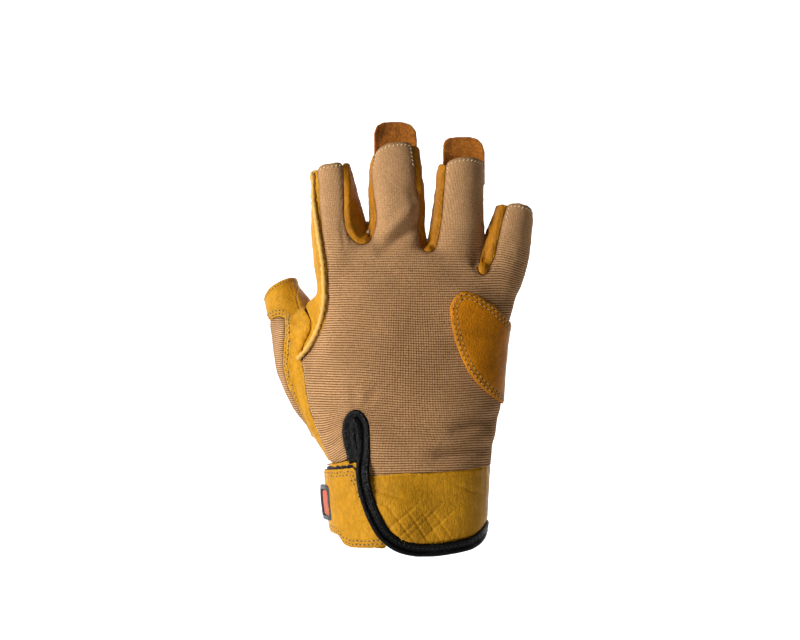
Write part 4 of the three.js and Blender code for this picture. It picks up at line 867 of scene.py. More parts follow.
def crease_lines(tree, place, turn, stretch, scale, detail, distortion, sharpness):
    """1 along fine wandering lines and 0 away from them."""
    mapped = node(tree, "ShaderNodeMapping", {"Vector": place, "Rotation": turn, "Scale": (1, 1, stretch)})
    settings = {"Vector": mapped.outputs[0], "Scale": scale, "Detail": detail, "Distortion": distortion}
    lines = clouds(tree, settings)
    split = maths(tree, "ABSOLUTE", maths(tree, "SUBTRACT", lines, 0.5))
    return maths(tree, "SUBTRACT", 1.0, maths(tree, "MULTIPLY", split, sharpness, clamp=True))


def leather_grain():
    """Pebbled grain, fine creases, the painted shade along them and slow changes of tone."""
    name = "Leather grain"
    if name in bpy.data.node_groups:
        return bpy.data.node_groups[name]
    tree, given, put = group(
        name,
        (("Pebble Size", "Float", 0.8), ("Crease Size", "Float", 5.0), ("Crease Depth", "Float", 0.5)),
        (("Height", "Float"), ("Tone", "Float"), ("Crease Shade", "Float")),
    )
    place = millimetres(tree)
    pebble = maths(tree, "DIVIDE", 1.0, given["Pebble Size"])
    cells = node(tree, "ShaderNodeTexVoronoi", {"Vector": place, "Scale": pebble}, feature="SMOOTH_F1")
    cells.inputs["Smoothness"].default_value = 0.6
    fine = clouds(tree, {"Vector": place, "Scale": 2.2, "Detail": 3.0})
    scale = maths(tree, "DIVIDE", 1.0, given["Crease Size"])
    first = crease_lines(tree, place, (0.5, 0.3, 0.7), 0.45, scale, 3.0, 0.5, 22.0)
    second = crease_lines(tree, place, (-0.4, 0.9, -0.6), 0.4, scale, 2.0, 0.3, 26.0)
    creases = maths(tree, "MAXIMUM", first, second)
    sunk = maths(tree, "MULTIPLY", creases, given["Crease Depth"])
    grain = maths(tree, "MULTIPLY_ADD", fine, 0.5, cells.outputs["Distance"])
    tree.links.new(maths(tree, "SUBTRACT", grain, sunk), put["Height"])
    slow = clouds(tree, {"Vector": place, "Scale": 0.07, "Detail": 3.0, "Roughness": 0.6})
    spots = clouds(tree, {"Vector": place, "Scale": 0.5, "Detail": 2.0})
    tone = maths(tree, "MULTIPLY_ADD", spots, 0.35, maths(tree, "MULTIPLY", slow, 0.65))
    tree.links.new(tone, put["Tone"])
    # Painted shade in the creases: the share by which the colour is darkened along them
    crease_shade = maths(tree, "MULTIPLY", creases, maths(tree, "ADD", given["Crease Depth"], 0.25), clamp=True)
    tree.links.new(crease_shade, put["Crease Shade"])
    return tree


def wave(tree, place, pitch):
    """From 0 to 1 and back, once in each pitch."""
    turn = maths(tree, "DIVIDE", 2 * math.pi, pitch)
    return maths(tree, "MULTIPLY_ADD", maths(tree, "SINE", maths(tree, "MULTIPLY", place, turn)), 0.5, 0.5)


def off_middle(tree, value, middle, reach):
    return maths(tree, "POWER", maths(tree, "DIVIDE", maths(tree, "SUBTRACT", value, middle), reach), 2.0)


def gap_depth(tree, ridge, strength):
    """Narrow gaps between the tops of a wave."""
    return maths(tree, "MULTIPLY", maths(tree, "POWER", maths(tree, "SUBTRACT", 1.0, ridge), 1.7), strength)


def cloth_weave():
    """Ribs across the hand and finer columns up it, along the cloth's own coordinates."""
    name = "Cloth weave"
    if name in bpy.data.node_groups:
        return bpy.data.node_groups[name]
    tree, given, put = group(
        name,
        (
            ("Rib Pitch", "Float", RIB_PITCH),
            ("Column Pitch", "Float", COLUMN_PITCH),
            ("Columns", "Float", 0.85),
        ),
        (("Height", "Float"), ("Shade", "Float"), ("Tone", "Float")),
    )
    weave = node(tree, "ShaderNodeAttribute", attribute_name="weave").outputs["Vector"]
    place = millimetres(tree)
    wander = clouds(tree, {"Vector": place, "Scale": 0.045, "Detail": 1.0})
    parts = node(tree, "ShaderNodeSeparateXYZ", {0: weave})
    moved = maths(tree, "MULTIPLY_ADD", wander, 1.6, parts.outputs["Y"])
    rib = wave(tree, moved, given["Rib Pitch"])
    moved_more = maths(tree, "MULTIPLY_ADD", wander, 1.2, parts.outputs["X"])
    column = wave(tree, moved_more, given["Column Pitch"])
    spot = node(tree, "ShaderNodeSeparateXYZ", {0: place})
    off = off_middle(tree, spot.outputs["X"], WAFFLE_MIDDLE[0], WAFFLE_REACH[0])
    off_up = off_middle(tree, spot.outputs["Z"], WAFFLE_MIDDLE[1], WAFFLE_REACH[1])
    centre = maths(tree, "EXPONENT", maths(tree, "MULTIPLY", maths(tree, "ADD", off, off_up), -1.0))
    columns = maths(tree, "MULTIPLY", given["Columns"], maths(tree, "MULTIPLY_ADD", centre, 0.75, 0.25))
    past = maths(tree, "SUBTRACT", spot.outputs["Z"], FUZZ_FROM)
    hand = maths(tree, "SUBTRACT", 1.0, maths(tree, "MULTIPLY", past, 0.045, clamp=True))
    ribs = maths(tree, "MULTIPLY_ADD", hand, 0.86, 0.12)
    fuzz = clouds(tree, {"Vector": place, "Scale": 1.6, "Detail": 3.0, "Roughness": 0.7})
    dark = maths(tree, "MAXIMUM", gap_depth(tree, rib, ribs), gap_depth(tree, column, columns))
    level = maths(tree, "MULTIPLY_ADD", hand, 0.09, 0.38)
    over = maths(tree, "SUBTRACT", fuzz, level)
    speck = maths(tree, "MULTIPLY_ADD", over, 1.5, dark, clamp=True)
    tree.links.new(speck, put["Shade"])
    height = maths(tree, "SUBTRACT", 1.0, dark)
    tree.links.new(maths(tree, "MULTIPLY_ADD", fuzz, 0.35, height), put["Height"])
    slow = clouds(tree, {"Vector": place, "Scale": 0.05, "Detail": 2.0})
    tree.links.new(slow, put["Tone"])
    return tree


def worn_edge_and_seam_shade():
    """1 at a cut edge and 0 away from it, broken up by noise: the paler rim of worn leather, and the painted
    seam shade of the cloth.
    """
    name = "Edge wear"
    if name in bpy.data.node_groups:
        return bpy.data.node_groups[name]
    tree, given, put = group(name, (("Width", "Float", 0.8),), (("Mask", "Float"),))
    away = node(tree, "ShaderNodeAttribute", attribute_name="edge").outputs["Fac"]
    rough = clouds(tree, {"Vector": millimetres(tree), "Scale": 1.1, "Detail": 2.0})
    moved = maths(tree, "MULTIPLY_ADD", maths(tree, "SUBTRACT", rough, 0.5), 0.8, away)
    tree.links.new(
        maths(tree, "SUBTRACT", 1.0, maths(tree, "DIVIDE", moved, given["Width"]), clamp=True), put["Mask"]
    )
    return tree


def plain(value, shade=1.0):
    return (value[0] * shade, value[1] * shade, value[2] * shade, 1)


def relief(tree, surface, height, strength, depth):
    """Bump of a depth in millimetres."""
    bump = node(tree, "ShaderNodeBump", {"Height": height, "Strength": strength, "Distance": depth * MM})
    tree.links.new(bump.outputs[0], surface.inputs["Normal"])


def material(name, preview, **shader):
    """A material and its Principled BSDF, with the shader's constant sockets set."""
    made = bpy.data.materials.new(name)
    made.use_nodes = True
    made.diffuse_color = plain(preview)
    surface = made.node_tree.nodes["Principled BSDF"]
    for socket, value in shader.items():
        surface.inputs[socket.replace("_", " ")].default_value = value
    return made, made.node_tree, surface


def leather(
    name,
    base,
    light=1.3,
    dark=0.62,
    pebble=0.75,
    crease=0.4,
    roughness=(0.38, 0.54),
    bump=0.5,
    gloss=0.1,
    rim=0.8,
):
    """Leather whose tone wanders from dark to light shares of its base, paler within the rim's width, with
    painted shade along its creases.
    """
    if name in bpy.data.materials:
        return bpy.data.materials[name]
    made, tree, surface = material(name, base)
    surface.inputs["Specular IOR Level"].default_value = gloss
    grain = node(tree, "ShaderNodeGroup", node_tree=leather_grain())
    grain.inputs["Pebble Size"].default_value = pebble
    grain.inputs["Crease Depth"].default_value = crease
    edge_rub_and_shade = node(tree, "ShaderNodeGroup", node_tree=worn_edge_and_seam_shade())
    edge_rub_and_shade.inputs["Width"].default_value = rim
    tone = node(tree, "ShaderNodeMapRange", {0: grain.outputs["Tone"], 1: 0.35, 2: 0.65})
    mixed = blend(tree, tone.outputs[0], plain(base, dark + 0.2), plain(base, (1 + light) / 2))
    # Painted crease shade: the colour darkens along the grain's creases
    crease_shaded = blend(tree, maths(tree, "MULTIPLY", grain.outputs["Crease Shade"], 0.6), mixed, plain(base, dark))
    pale = plain((base[0] * light, base[1] * light * 1.08, base[2] * light * 1.5))
    worn = blend(tree, maths(tree, "MULTIPLY", edge_rub_and_shade.outputs["Mask"], 0.4), crease_shaded, pale)
    tree.links.new(worn, surface.inputs["Base Color"])
    shiny, dull = roughness
    rough = node(tree, "ShaderNodeMapRange", {0: grain.outputs["Tone"], 1: 0.3, 2: 0.7, 3: dull, 4: shiny})
    tree.links.new(rough.outputs[0], surface.inputs["Roughness"])
    relief(tree, surface, grain.outputs["Height"], bump, 0.5)
    return made


def cloth(name, colours, rib=RIB_PITCH, columns=0.85):
    if name in bpy.data.materials:
        return bpy.data.materials[name]
    made, tree, surface = material(name, colours.cloth, Sheen_Weight=0.04, Sheen_Roughness=0.6)
    surface.inputs["Specular IOR Level"].default_value = 0.05
    weave = node(tree, "ShaderNodeGroup", node_tree=cloth_weave())
    weave.inputs["Rib Pitch"].default_value = rib
    weave.inputs["Columns"].default_value = columns
    edge_rub_and_shade = node(tree, "ShaderNodeGroup", node_tree=worn_edge_and_seam_shade())
    edge_rub_and_shade.inputs["Width"].default_value = 1.6
    tone = node(tree, "ShaderNodeMapRange", {0: weave.outputs["Tone"], 1: 0.35, 2: 0.65})
    top = blend(tree, tone.outputs[0], plain(colours.cloth, 1.0), plain(colours.cloth, 1.22))
    ribs = blend(tree, weave.outputs["Shade"], top, plain(colours.cloth_shade))
    # Painted seam shade: the cloth is painted darker, towards its gap colour, within 1.6 mm of its cut edges,
    # where the seams' shadow falls
    seam_shade_share = maths(tree, "MULTIPLY", edge_rub_and_shade.outputs["Mask"], 0.35)
    seam_shaded = blend(tree, seam_shade_share, ribs, plain(colours.cloth_shade, 0.8))
    tree.links.new(seam_shaded, surface.inputs["Base Color"])
    surface.inputs["Roughness"].default_value = 0.9
    relief(tree, surface, weave.outputs["Height"], 0.5, 0.35)
    return made


def nap(name, base, scale=1.6, contrast=0.5, bump=0.6):
    """Suede, pile or the rough inner side of leather."""
    if name in bpy.data.materials:
        return bpy.data.materials[name]
    made, tree, surface = material(name, base, Roughness=0.95, Sheen_Weight=0.3)
    surface.inputs["Specular IOR Level"].default_value = 0.1
    place = millimetres(tree)
    fibres = clouds(tree, {"Vector": place, "Scale": scale, "Detail": 5.0, "Roughness": 0.75})
    slow = clouds(tree, {"Vector": place, "Scale": 0.2, "Detail": 3.0})
    both = maths(tree, "MULTIPLY_ADD", fibres, 0.8, maths(tree, "MULTIPLY", slow, 0.2))
    spread_out = node(tree, "ShaderNodeMapRange", {0: both, 1: 0.38, 2: 0.62})
    edge_rub_and_shade = node(tree, "ShaderNodeGroup", node_tree=worn_edge_and_seam_shade())
    edge_rub_and_shade.inputs["Width"].default_value = 0.7
    mixed = blend(tree, spread_out.outputs[0], plain(base, 1 - contrast), plain(base, 1 + contrast))
    worn = blend(tree, maths(tree, "MULTIPLY", edge_rub_and_shade.outputs["Mask"], 0.45), mixed, plain(base, 2.0))
    tree.links.new(worn, surface.inputs["Base Color"])
    relief(tree, surface, fibres, bump, 0.4)
    return made


def thread(name, base, roughness=0.6):
    if name in bpy.data.materials:
        return bpy.data.materials[name]
    made, tree, surface = material(name, base, Roughness=roughness)
    place = millimetres(tree)
    settings = {"Vector": place, "Scale": 2.4, "Distortion": 1.5}
    twist = node(tree, "ShaderNodeTexWave", settings, bands_direction="DIAGONAL")
    mixed = blend(tree, twist.outputs["Fac"], plain(base, 0.7), plain(base, 1.15))
    tree.links.new(mixed, surface.inputs["Base Color"])
    relief(tree, surface, twist.outputs["Fac"], 0.5, 0.15)
    return made


# Painted shade: a near-black material for the beads that stand in for the shadow in the needle's pricks
def needle_prick_shade():
    name = "Needle holes"
    if name in bpy.data.materials:
        return bpy.data.materials[name]
    made, tree, surface = material(name, (0.03, 0.014, 0.004), Roughness=1)
    soft = clouds(tree, {"Vector": millimetres(tree), "Scale": 1.5})
    mixed = blend(tree, soft, (0.02, 0.009, 0.003, 1), (0.06, 0.026, 0.006, 1))
    tree.links.new(mixed, surface.inputs["Base Color"])
    return made


def palm_leather(colours):
    return leather("Palm leather", colours.leather)


def inside(colours):
    return nap("Leather inside", colours.flesh, 1.2, 0.25, 0.4)


class GLOVE_OT_back(bpy.types.Operator):
    """Make the stretch cloth of the back and of the thumb's inset"""

    bl_idname = "glove.back"
    bl_label = "Cloth"

    def execute(self, context):
        sizes, colours = context.scene.glove_sizes, context.scene.glove_colours
        back = cloth("Stretch cloth", colours)
        lined = [back, nap("Cloth inside", colours.cloth, 1.4, 0.2, 0.4)]
        sheet = panel("back_panel", "back_cloth", lined, sizes.wall, prepare=weave_field)
        inset = cloth("Inset cloth", colours, INSET_RIB_PITCH, 0.35)
        sheet = panel(
            "thumb_insert", "thumb_cloth", [inset, lined[1]], sizes.wall, prepare=weave_field
        )
        return {"FINISHED"}


class GLOVE_OT_leather(bpy.types.Operator):
    """Make the leather of the palm, the thumb and between the fingers"""

    bl_idname = "glove.leather"
    bl_label = "Leather"

    def execute(self, context):
        sizes, colours = context.scene.glove_sizes, context.scene.glove_colours
        palm = [palm_leather(colours), inside(colours)]
        panel("palm_panel", "palm", palm, sizes.wall)
        panel("thumb_back", "thumb_outside", palm, sizes.wall)
        panel("thumb_front", "thumb_palm_side", palm, sizes.wall)
        side = [leather("Gusset leather", colours.gusset, roughness=(0.38, 0.52)), inside(colours)]
        for name in GUSSETS:
            panel(name, name.replace("gusset", "wall"), side, sizes.wall)
        return {"FINISHED"}


class GLOVE_OT_patch(bpy.types.Operator):
    """Make the edge patch over the little-finger side"""

    bl_idname = "glove.patch"
    bl_label = "Edge patch"

    def execute(self, context):
        sizes, colours = context.scene.glove_sizes, context.scene.glove_colours
        skin = form()
        overlay = sizes.overlay / MM

        def raised(bm):
            def height(point, edge):
                rolled = 1 - math.exp(-edge / 0.7)
                sunk = 0.2 * grooves(edge, PATCH_ROWS)
                return 0.15 + overlay * (0.55 + 0.45 * rolled) - sunk + 0.1 * noise.noise(point / 9)

            shift(bm, height)

        surface = leather("Patch leather", colours.patch, light=1.5, dark=0.6, crease=0.2, rim=1.5)
        panel(
            "edge_patch",
            "edge_patch_leather",
            [surface, inside(colours)],
            sizes.overlay,
            field=skin.patch_gap - 0.75,
            prepare=raised,
        )
        return {"FINISHED"}


class GLOVE_OT_cuff(bpy.types.Operator):
    """Make the cuff flap, the wrist strap and its lining"""

    bl_idname = "glove.cuff"
    bl_label = "Cuff"

    def execute(self, context):
        sizes, colours = context.scene.glove_sizes, context.scene.glove_colours
        look = {"light": 1.35, "crease": 0.45, "roughness": (0.34, 0.48), "bump": 0.42}
        surface = leather("Cuff leather", colours.leather, **look)
        strength = sizes.fold_strength

        def flap_height(point, edge):
            folds = fold_lift(np.array([point]), FLAP_FOLDS)[0]
            soft = 0.35 * noise.noise(point / 11) - 0.35 * math.exp(-((edge / 1.2) ** 2))
            return strength * (folds + soft)

        bm = soft_solid("cuff_flap", 0.45, round_cuff, 10, 0.7)
        shift(bm, flap_height)
        piece_from(bm, "cuff_flap_leather", [surface], "cuff_flap")

        def strap_height(point, edge):
            return 0.15 * noise.noise(point / 8) - 0.25 * grooves(edge, STRAP_GROOVES)

        bm = soft_solid("wrist_strap", 0.45, round_cuff, 8, 0.4)
        shift(bm, strap_height)
        shared["strap"] = bm.copy()
        piece_from(bm, "wrist_strap_leather", [palm_leather(colours)], "wrist_strap")

        bm = soft_solid("strap_lining", 0.4, round_cuff, 3, 0.25)
        layer = bm.verts.layers.float["edge"]
        bm.normal_update()
        for vert in bm.verts:
            loose = max(0, 1 - vert[layer] / 2.5)
            vert.co += vert.normal * loose * 0.5 * MM * noise.noise(vert.co / MM / 0.9)
            vert.co.z += loose * 0.5 * MM * noise.noise(vert.co / MM / 1.6 + Vector((30, 0, 0)))
        pile = nap("Black pile", colours.lining, 2.6, 0.6, 1.0)
        piece_from(bm, "strap_lining_pile", [pile], "strap_lining")
        return {"FINISHED"}


class GLOVE_OT_tabs(bpy.types.Operator):
    """Make the suede pull tabs"""

    bl_idname = "glove.tabs"
    bl_label = "Pull tabs"

    def execute(self, context):
        colours = context.scene.glove_colours
        surface = nap("Suede", colours.suede, 1.1, 0.5, 0.9)
        for name in ("middle_pull_tab", "ring_pull_tab"):
            bm = soft_solid(name, 0.4, to_back, 4, 0.3)
            shift(bm, lambda point, edge: 0.15 * noise.noise(point / 5))
            piece_from(bm, name.replace("pull_tab", "tab_suede"), [surface], name)
        return {"FINISHED"}


def smooth_path(points, step):
    """Points at an even step along a smooth curve through a table's points, in millimetres."""
    given = [Vector(point) for point in points]
    given = [given[0] * 2 - given[1], *given, given[-1] * 2 - given[-2]]
    dense = []
    for a, b, c, d in zip(given, given[1:], given[2:], given[3:]):
        for k in range(16):
            t = k / 16
            dense.append(
                0.5
                * (2 * b + (c - a) * t + (2 * a - 5 * b + 4 * c - d) * t * t + (3 * b - a - 3 * c + d) * t**3)
            )
    dense.append(given[-2])
    even = [dense[0]]
    for point in dense[1:]:
        while (point - even[-1]).length > step:
            even.append(even[-1] + (point - even[-1]).normalized() * step)
    return even


def path_frames(points, tree):
    """(point, direction, across, up) along a path, upright on the form."""
    ups = []
    for point in points:
        _, normal, _, _ = tree.find_nearest(point)
        ups.append(normal)
    for _ in range(6):
        ups = [(a + b + c).normalized() for a, b, c in zip([ups[0], *ups], ups, [*ups[1:], ups[-1]])]
    frames = []
    for k, point in enumerate(points):
        ahead = (points[min(len(points) - 1, k + 1)] - points[max(0, k - 1)]).normalized()
        across = ups[k].cross(ahead).normalized()
        frames.append((point, ahead, across, ahead.cross(across)))
    return frames


def sweep(frames, section):
    """Closed bmesh of a section swept along frames. section(step) gives (across, up) corners."""
    bm = bmesh.new()
    loops = []
    for step, (point, _, across, up) in enumerate(frames):
        ring = [bm.verts.new((point + across * a + up * u) * MM) for a, u in section(step)]
        loops.append([bm.edges.new((ring[k], ring[(k + 1) % len(ring)])) for k in range(len(ring))])
    for first, last in zip(loops, loops[1:]):
        bmesh.ops.bridge_loops(bm, edges=first + last)
    for loop in (loops[0], loops[-1]):
        bmesh.ops.contextual_create(bm, geom=loop)
    bmesh.ops.recalc_face_normals(bm, faces=bm.faces)
    return bm


def form_tree():
    if "tree" not in shared:
        skin = form()
        shared["tree"] = BVHTree.FromPolygons(skin.base.tolist(), skin.corners.tolist())
    return shared["tree"]


class GLOVE_OT_binding(bpy.types.Operator):
    """Make the black leather binding round the slit, the flap and the cuff"""

    bl_idname = "glove.binding"
    bl_label = "Binding"

    def execute(self, context):
        colours = context.scene.glove_colours
        points = smooth_path(BINDING_PATH, BINDING_STEP)
        frames = path_frames(points, form_tree())

        def section(step):
            run = step * BINDING_STEP
            at = points[step]
            loop = max(0, min(1, (LOOP_LENGTH - run) / 6))
            pucker = 0.07 * math.sin(run * 2 * math.pi / 2.3)
            lump = 0.1 * noise.noise(at / 3.5) + 0.05 * noise.noise(at / 1.3)
            corners = []
            for share_across, share_up in BINDING_SECTION:
                across = -share_across * BINDING_WIDTH
                up = share_up * BINDING_THICKNESS
                if share_across < 0 and loop:
                    across += loop * LOOP_SWELL * min(1, -share_across / 0.4)
                if share_across > 0.3:
                    across -= (1 - loop) * BAND_REACH
                if up > 0:
                    up += lump if share_across < 0 else pucker + lump * 0.5
                corners.append((-across, up))
            return corners

        bm = sweep(frames, section)
        look = {"light": 2.2, "dark": 0.5, "pebble": 0.6, "crease": 0.5, "gloss": 0.12}
        surface = leather("Black leather", colours.binding, roughness=(0.28, 0.44), **look)
        piece_from(bm, "binding_leather", [surface], "slit_binding")
        seam = bmesh.new()
        over, lift = 0.3 * BINDING_WIDTH, 0.24 * BINDING_THICKNESS
        line = [((point + across * over + up * lift) * MM, up) for point, _, across, up in frames]
        sew(seam, line, context.scene.glove_sizes, prick_shade=False, length=0.9, width=0.8)
        piece_from(seam, "binding_stitches", [thread("Black thread", BLACK_THREAD, 0.45)])
        return {"FINISHED"}


class GLOVE_OT_welt(bpy.types.Operator):
    """Make the rolled seam along the index finger"""

    bl_idname = "glove.welt"
    bl_label = "Rolled seam"

    def execute(self, context):
        radius = context.scene.glove_sizes.welt_width / MM / 2
        points = smooth_path(WELT_PATH, 0.45)
        frames = path_frames(points, form_tree())
        last = len(points) - 1

        def section(step):
            at = points[step]
            ends = min(1, 0.35 + 0.25 * step, 0.35 + 0.25 * (last - step))
            swell = radius * ends * (1.1 + 0.42 * noise.noise(at / 2.3) + 0.16 * math.sin(step * 0.9))
            corners = []
            for k in range(12):
                angle = k / 12 * 2 * math.pi
                corners.append((swell * 1.05 * math.cos(angle), swell * math.sin(angle) * 0.95))
            return corners

        bm = sweep(frames, section)
        surface = leather(
            "Rolled leather", ROLLED_LEATHER, light=1.25, dark=0.55, pebble=0.6, crease=0.6, bump=0.35
        )
        piece_from(bm, "rolled_seam", [surface], "index_seam_welt")
        return {"FINISHED"}


class GLOVE_OT_badge(bpy.types.Operator):
    """Make the badge's ridged frame and its plain face"""

    bl_idname = "glove.badge"
    bl_label = "Badge"

    def execute(self, context):
        colours = context.scene.glove_colours
        made, tree, surface = material("Ridged rubber", colours.badge_frame, Roughness=0.42)
        speck = clouds(tree, {"Vector": millimetres(tree), "Scale": 1.2, "Detail": 3.0})
        mixed = blend(
            tree, speck, plain(colours.badge_frame, 0.7), plain(colours.badge_frame, 1.5)
        )
        tree.links.new(mixed, surface.inputs["Base Color"])
        relief(tree, surface, speck, 0.2, 0.2)
        low, high = (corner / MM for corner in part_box("badge_frame"))
        middle = (low + high) / 2

        def ridged(node_name, name, material_made, ridge):
            bm = bmesh.new()
            bm.from_mesh(NODES[node_name].data)
            bmesh.ops.remove_doubles(bm, verts=bm.verts, dist=0.001 * MM)
            mesh = remeshed(bm, 0.3)
            co = spread(positions(mesh), edge_ends(mesh), 3)
            normals = facings(co, triangles(mesh))
            round_face = np.max(np.abs(co[:, 1:] - middle[1:]) / BADGE_HALF, axis=1)
            ridges = ridge * np.cos(round_face * 2 * np.pi * BADGE_RIDGES)
            outward = np.clip(-normals[:, 0], 0, 1)
            off = co + normals * (ridges * outward)[:, None] - middle
            turned = off.copy()
            turned[:, 0] = off[:, 0] * math.cos(BADGE_TURN) - off[:, 1] * math.sin(BADGE_TURN)
            turned[:, 1] = off[:, 0] * math.sin(BADGE_TURN) + off[:, 1] * math.cos(BADGE_TURN)
            place(mesh, turned + middle + np.array(BADGE_SEAT))
            bm = bmesh.new()
            bm.from_mesh(mesh)
            bpy.data.meshes.remove(mesh)
            piece_from(bm, name, [material_made], node_name)

        ridged("badge_frame", "badge_rim", made, 0.14)
        face, tree, surface = material("Orange face", colours.badge_face, Roughness=0.5)
        cloud = clouds(tree, {"Vector": millimetres(tree), "Scale": 0.6, "Detail": 2.0})
        dark, light = plain(colours.badge_face, 0.85), plain(colours.badge_face, 1.15)
        mixed = blend(tree, cloud, dark, light)
        tree.links.new(mixed, surface.inputs["Base Color"])
        ridged("badge_face", "badge_plate", face, 0.0)
        return {"FINISHED"}


class GLOVE_OT_stitching(bpy.types.Operator):
    """Sew the patch, the strap, the thumb and the hems"""

    bl_idname = "glove.stitching"
    bl_label = "Stitching"

    def execute(self, context):
        sizes, colours = context.scene.glove_sizes, context.scene.glove_colours
        gold = [thread("Gold thread", colours.thread), needle_prick_shade()]
        pale = [thread("Pale thread", colours.hem_thread), needle_prick_shade()]

        def rows(name, source, levels, threads, slot, wanted=None, **settings):
            field_mesh = shared[source]
            field_mesh.verts.index_update()
            field_mesh.edges.index_update()
            layer = field_mesh.verts.layers.float["edge"]
            bm = bmesh.new()
            for level in levels:
                for line in rows_at(field_mesh, layer, level, wanted):
                    sew(bm, line, sizes, **settings)
            piece_from(bm, name, threads)

        insert = NODES["thumb_insert"].data
        insert_tree = BVHTree.FromPolygons(
            positions(insert).tolist(), [tuple(face.vertices) for face in insert.polygons]
        )
        axis = Vector(THUMB_POINTS).normalized()

        def on_strap(point):
            return point.x < -8 or point.y > 0

        def by_insert(point):
            return insert_tree.find_nearest(point, 4.2)[0] is not None

        def thumb_hem(point):
            return point.dot(axis) > 135 and not by_insert(point)

        def by_wrist(point):
            return point.x < -40 and point.z < 93

        def finger_hem(point):
            return point.z > 178 or (point.x > 12 and point.z > 176) or (point.x > 45 and point.z > 155.5)

        rows("patch_stitches", "edge_patch_leather", PATCH_ROWS, gold, "patch_leather")
        rows("strap_stitches", "strap", STRAP_ROWS, gold, "palm_leather", on_strap, length=0.85)
        rows("thumb_stitches", "thumb_outside", (1.3, 2.9), gold, "palm_leather", by_insert, length=0.85)
        small = {"length": 0.6, "width": 0.8}
        rows("thumb_hem_stitches", "thumb_outside", (1.7,), gold, "palm_leather", thumb_hem, **small)
        plain_rows = {"prick_shade": False, "length": 0.6, "width": 0.7}
        rows("back_edge_stitches", "back_cloth", (0.8,), pale, "back_cloth", by_wrist, **plain_rows)
        hem_rows = {"prick_shade": False, "slant": 0.8, "length": 0.75, "width": 1.1}
        rows("hem_stitches", "back_cloth", (1.5,), pale, "back_cloth", finger_hem, **hem_rows)
        return {"FINISHED"}


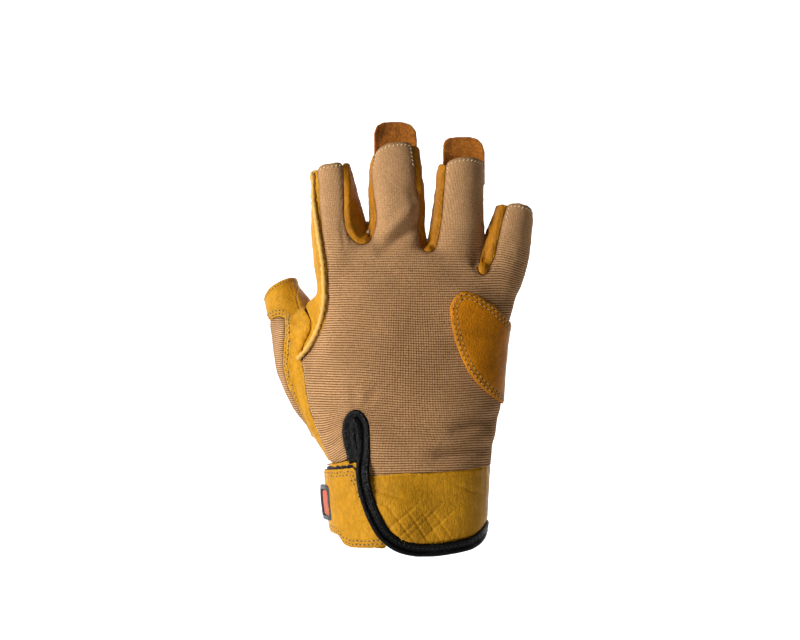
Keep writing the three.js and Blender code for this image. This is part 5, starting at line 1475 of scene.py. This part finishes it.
class GLOVE_OT_stage(bpy.types.Operator):
    """Make the floor, the backdrop, the lights and the camera"""

    bl_idname = "glove.stage"
    bl_label = "Stage"

    def execute(self, context):
        colours, light = context.scene.glove_colours, context.scene.glove_light
        scene = context.scene
        bm = bmesh.new()
        outline = []
        for y, z in ((FLOOR_FRONT, 0.0), *BACKDROP):
            outline.append(bm.verts.new((-FLOOR_SIDE, y, FLOOR_LEVEL * MM + z)))
        edges = [bm.edges.new(pair) for pair in zip(outline, outline[1:])]
        made = bmesh.ops.extrude_edge_only(bm, edges=edges)
        moved = [part for part in made["geom"] if isinstance(part, bmesh.types.BMVert)]
        bmesh.ops.translate(bm, verts=moved, vec=(2 * FLOOR_SIDE, 0, 0))
        bmesh.ops.recalc_face_normals(bm, faces=bm.faces)
        mesh = bpy.data.meshes.new("floor")
        bm.to_mesh(mesh)
        bm.free()
        mesh.shade_smooth()
        paper, tree, surface = material("Studio paper", colours.floor, Roughness=0.9)
        fibre = clouds(tree, {"Vector": millimetres(tree), "Scale": 0.02})
        mixed = blend(tree, fibre, plain(colours.floor), plain(colours.floor, 0.99))
        tree.links.new(mixed, surface.inputs["Base Color"])
        depth = node(tree, "ShaderNodeSeparateXYZ", {0: millimetres(tree)}).outputs["Y"]
        far = node(tree, "ShaderNodeMapRange", {0: depth, 1: GLOW_FROM, 2: GLOW_TO})
        glow = blend(tree, far.outputs[0], (0, 0, 0, 1), (1, 1, 1, 1))
        tree.links.new(glow, surface.inputs["Emission Color"])
        surface.inputs["Emission Strength"].default_value = 1.0
        mesh.materials.append(paper)
        floor = bpy.data.objects.new("floor", mesh)
        scene.collection.objects.link(floor)

        world = bpy.data.worlds.new("Studio")
        world.use_nodes = True
        world.node_tree.nodes["Background"].inputs["Color"].default_value = (1, 1, 1, 1)
        world.node_tree.nodes["Background"].inputs["Strength"].default_value = light.room
        scene.world = world

        for name, power, place_at, size in (
            ("key", light.key, KEY_PLACE, 0.3),
            ("fill", light.fill, FILL_PLACE, 0.9),
        ):
            lamp = bpy.data.lights.new(name, "AREA")
            lamp.energy = power
            lamp.size = size
            holder = bpy.data.objects.new(name, lamp)
            holder.location = place_at
            aim = Vector((0, 0, 0.1)) - Vector(place_at)
            holder.rotation_euler = aim.to_track_quat("-Z", "Y").to_euler()
            scene.collection.objects.link(holder)

        camera = bpy.data.cameras.new("camera")
        camera.lens = CAMERA_LENS
        camera.sensor_width = 36
        camera.clip_start = 0.05
        camera.clip_end = 20
        holder = bpy.data.objects.new("camera", camera)
        holder.location = Vector(CAMERA_PLACE) * MM
        holder.rotation_euler = (math.pi / 2, 0, 0)
        scene.collection.objects.link(holder)
        scene.camera = holder
        scene.view_settings.view_transform = "Standard"
        return {"FINISHED"}


STEPS = (
    GLOVE_OT_stage,
    GLOVE_OT_back,
    GLOVE_OT_leather,
    GLOVE_OT_patch,
    GLOVE_OT_cuff,
    GLOVE_OT_tabs,
    GLOVE_OT_binding,
    GLOVE_OT_welt,
    GLOVE_OT_badge,
    GLOVE_OT_stitching,
)


class GLOVE_PT_sidebar(bpy.types.Panel):
    """The glove's sizes and colours, and the steps that make it"""

    bl_idname = "GLOVE_PT_sidebar"
    bl_label = "Climbing glove"
    bl_space_type = "VIEW_3D"
    bl_region_type = "UI"
    bl_category = "Glove"

    def draw(self, context):
        for settings in (context.scene.glove_sizes, context.scene.glove_colours, context.scene.glove_light):
            column = self.layout.column(align=True)
            for name in settings.__annotations__:
                column.prop(settings, name)
        for step in STEPS:
            self.layout.operator(step.bl_idname)


CLASSES = (GloveSizes, GloveColours, GloveLight, *STEPS, GLOVE_PT_sidebar)


def register():
    for made in CLASSES:
        bpy.utils.register_class(made)
    bpy.types.Scene.glove_sizes = PointerProperty(type=GloveSizes)
    bpy.types.Scene.glove_colours = PointerProperty(type=GloveColours)
    bpy.types.Scene.glove_light = PointerProperty(type=GloveLight)


def unregister():
    del bpy.types.Scene.glove_light
    del bpy.types.Scene.glove_colours
    del bpy.types.Scene.glove_sizes
    for made in reversed(CLASSES):
        bpy.utils.unregister_class(made)


def main():
    register()
    for step in STEPS:
        area, name = step.bl_idname.split(".")
        getattr(getattr(bpy.ops, area), name)()


if __name__ == "__main__":
    main()
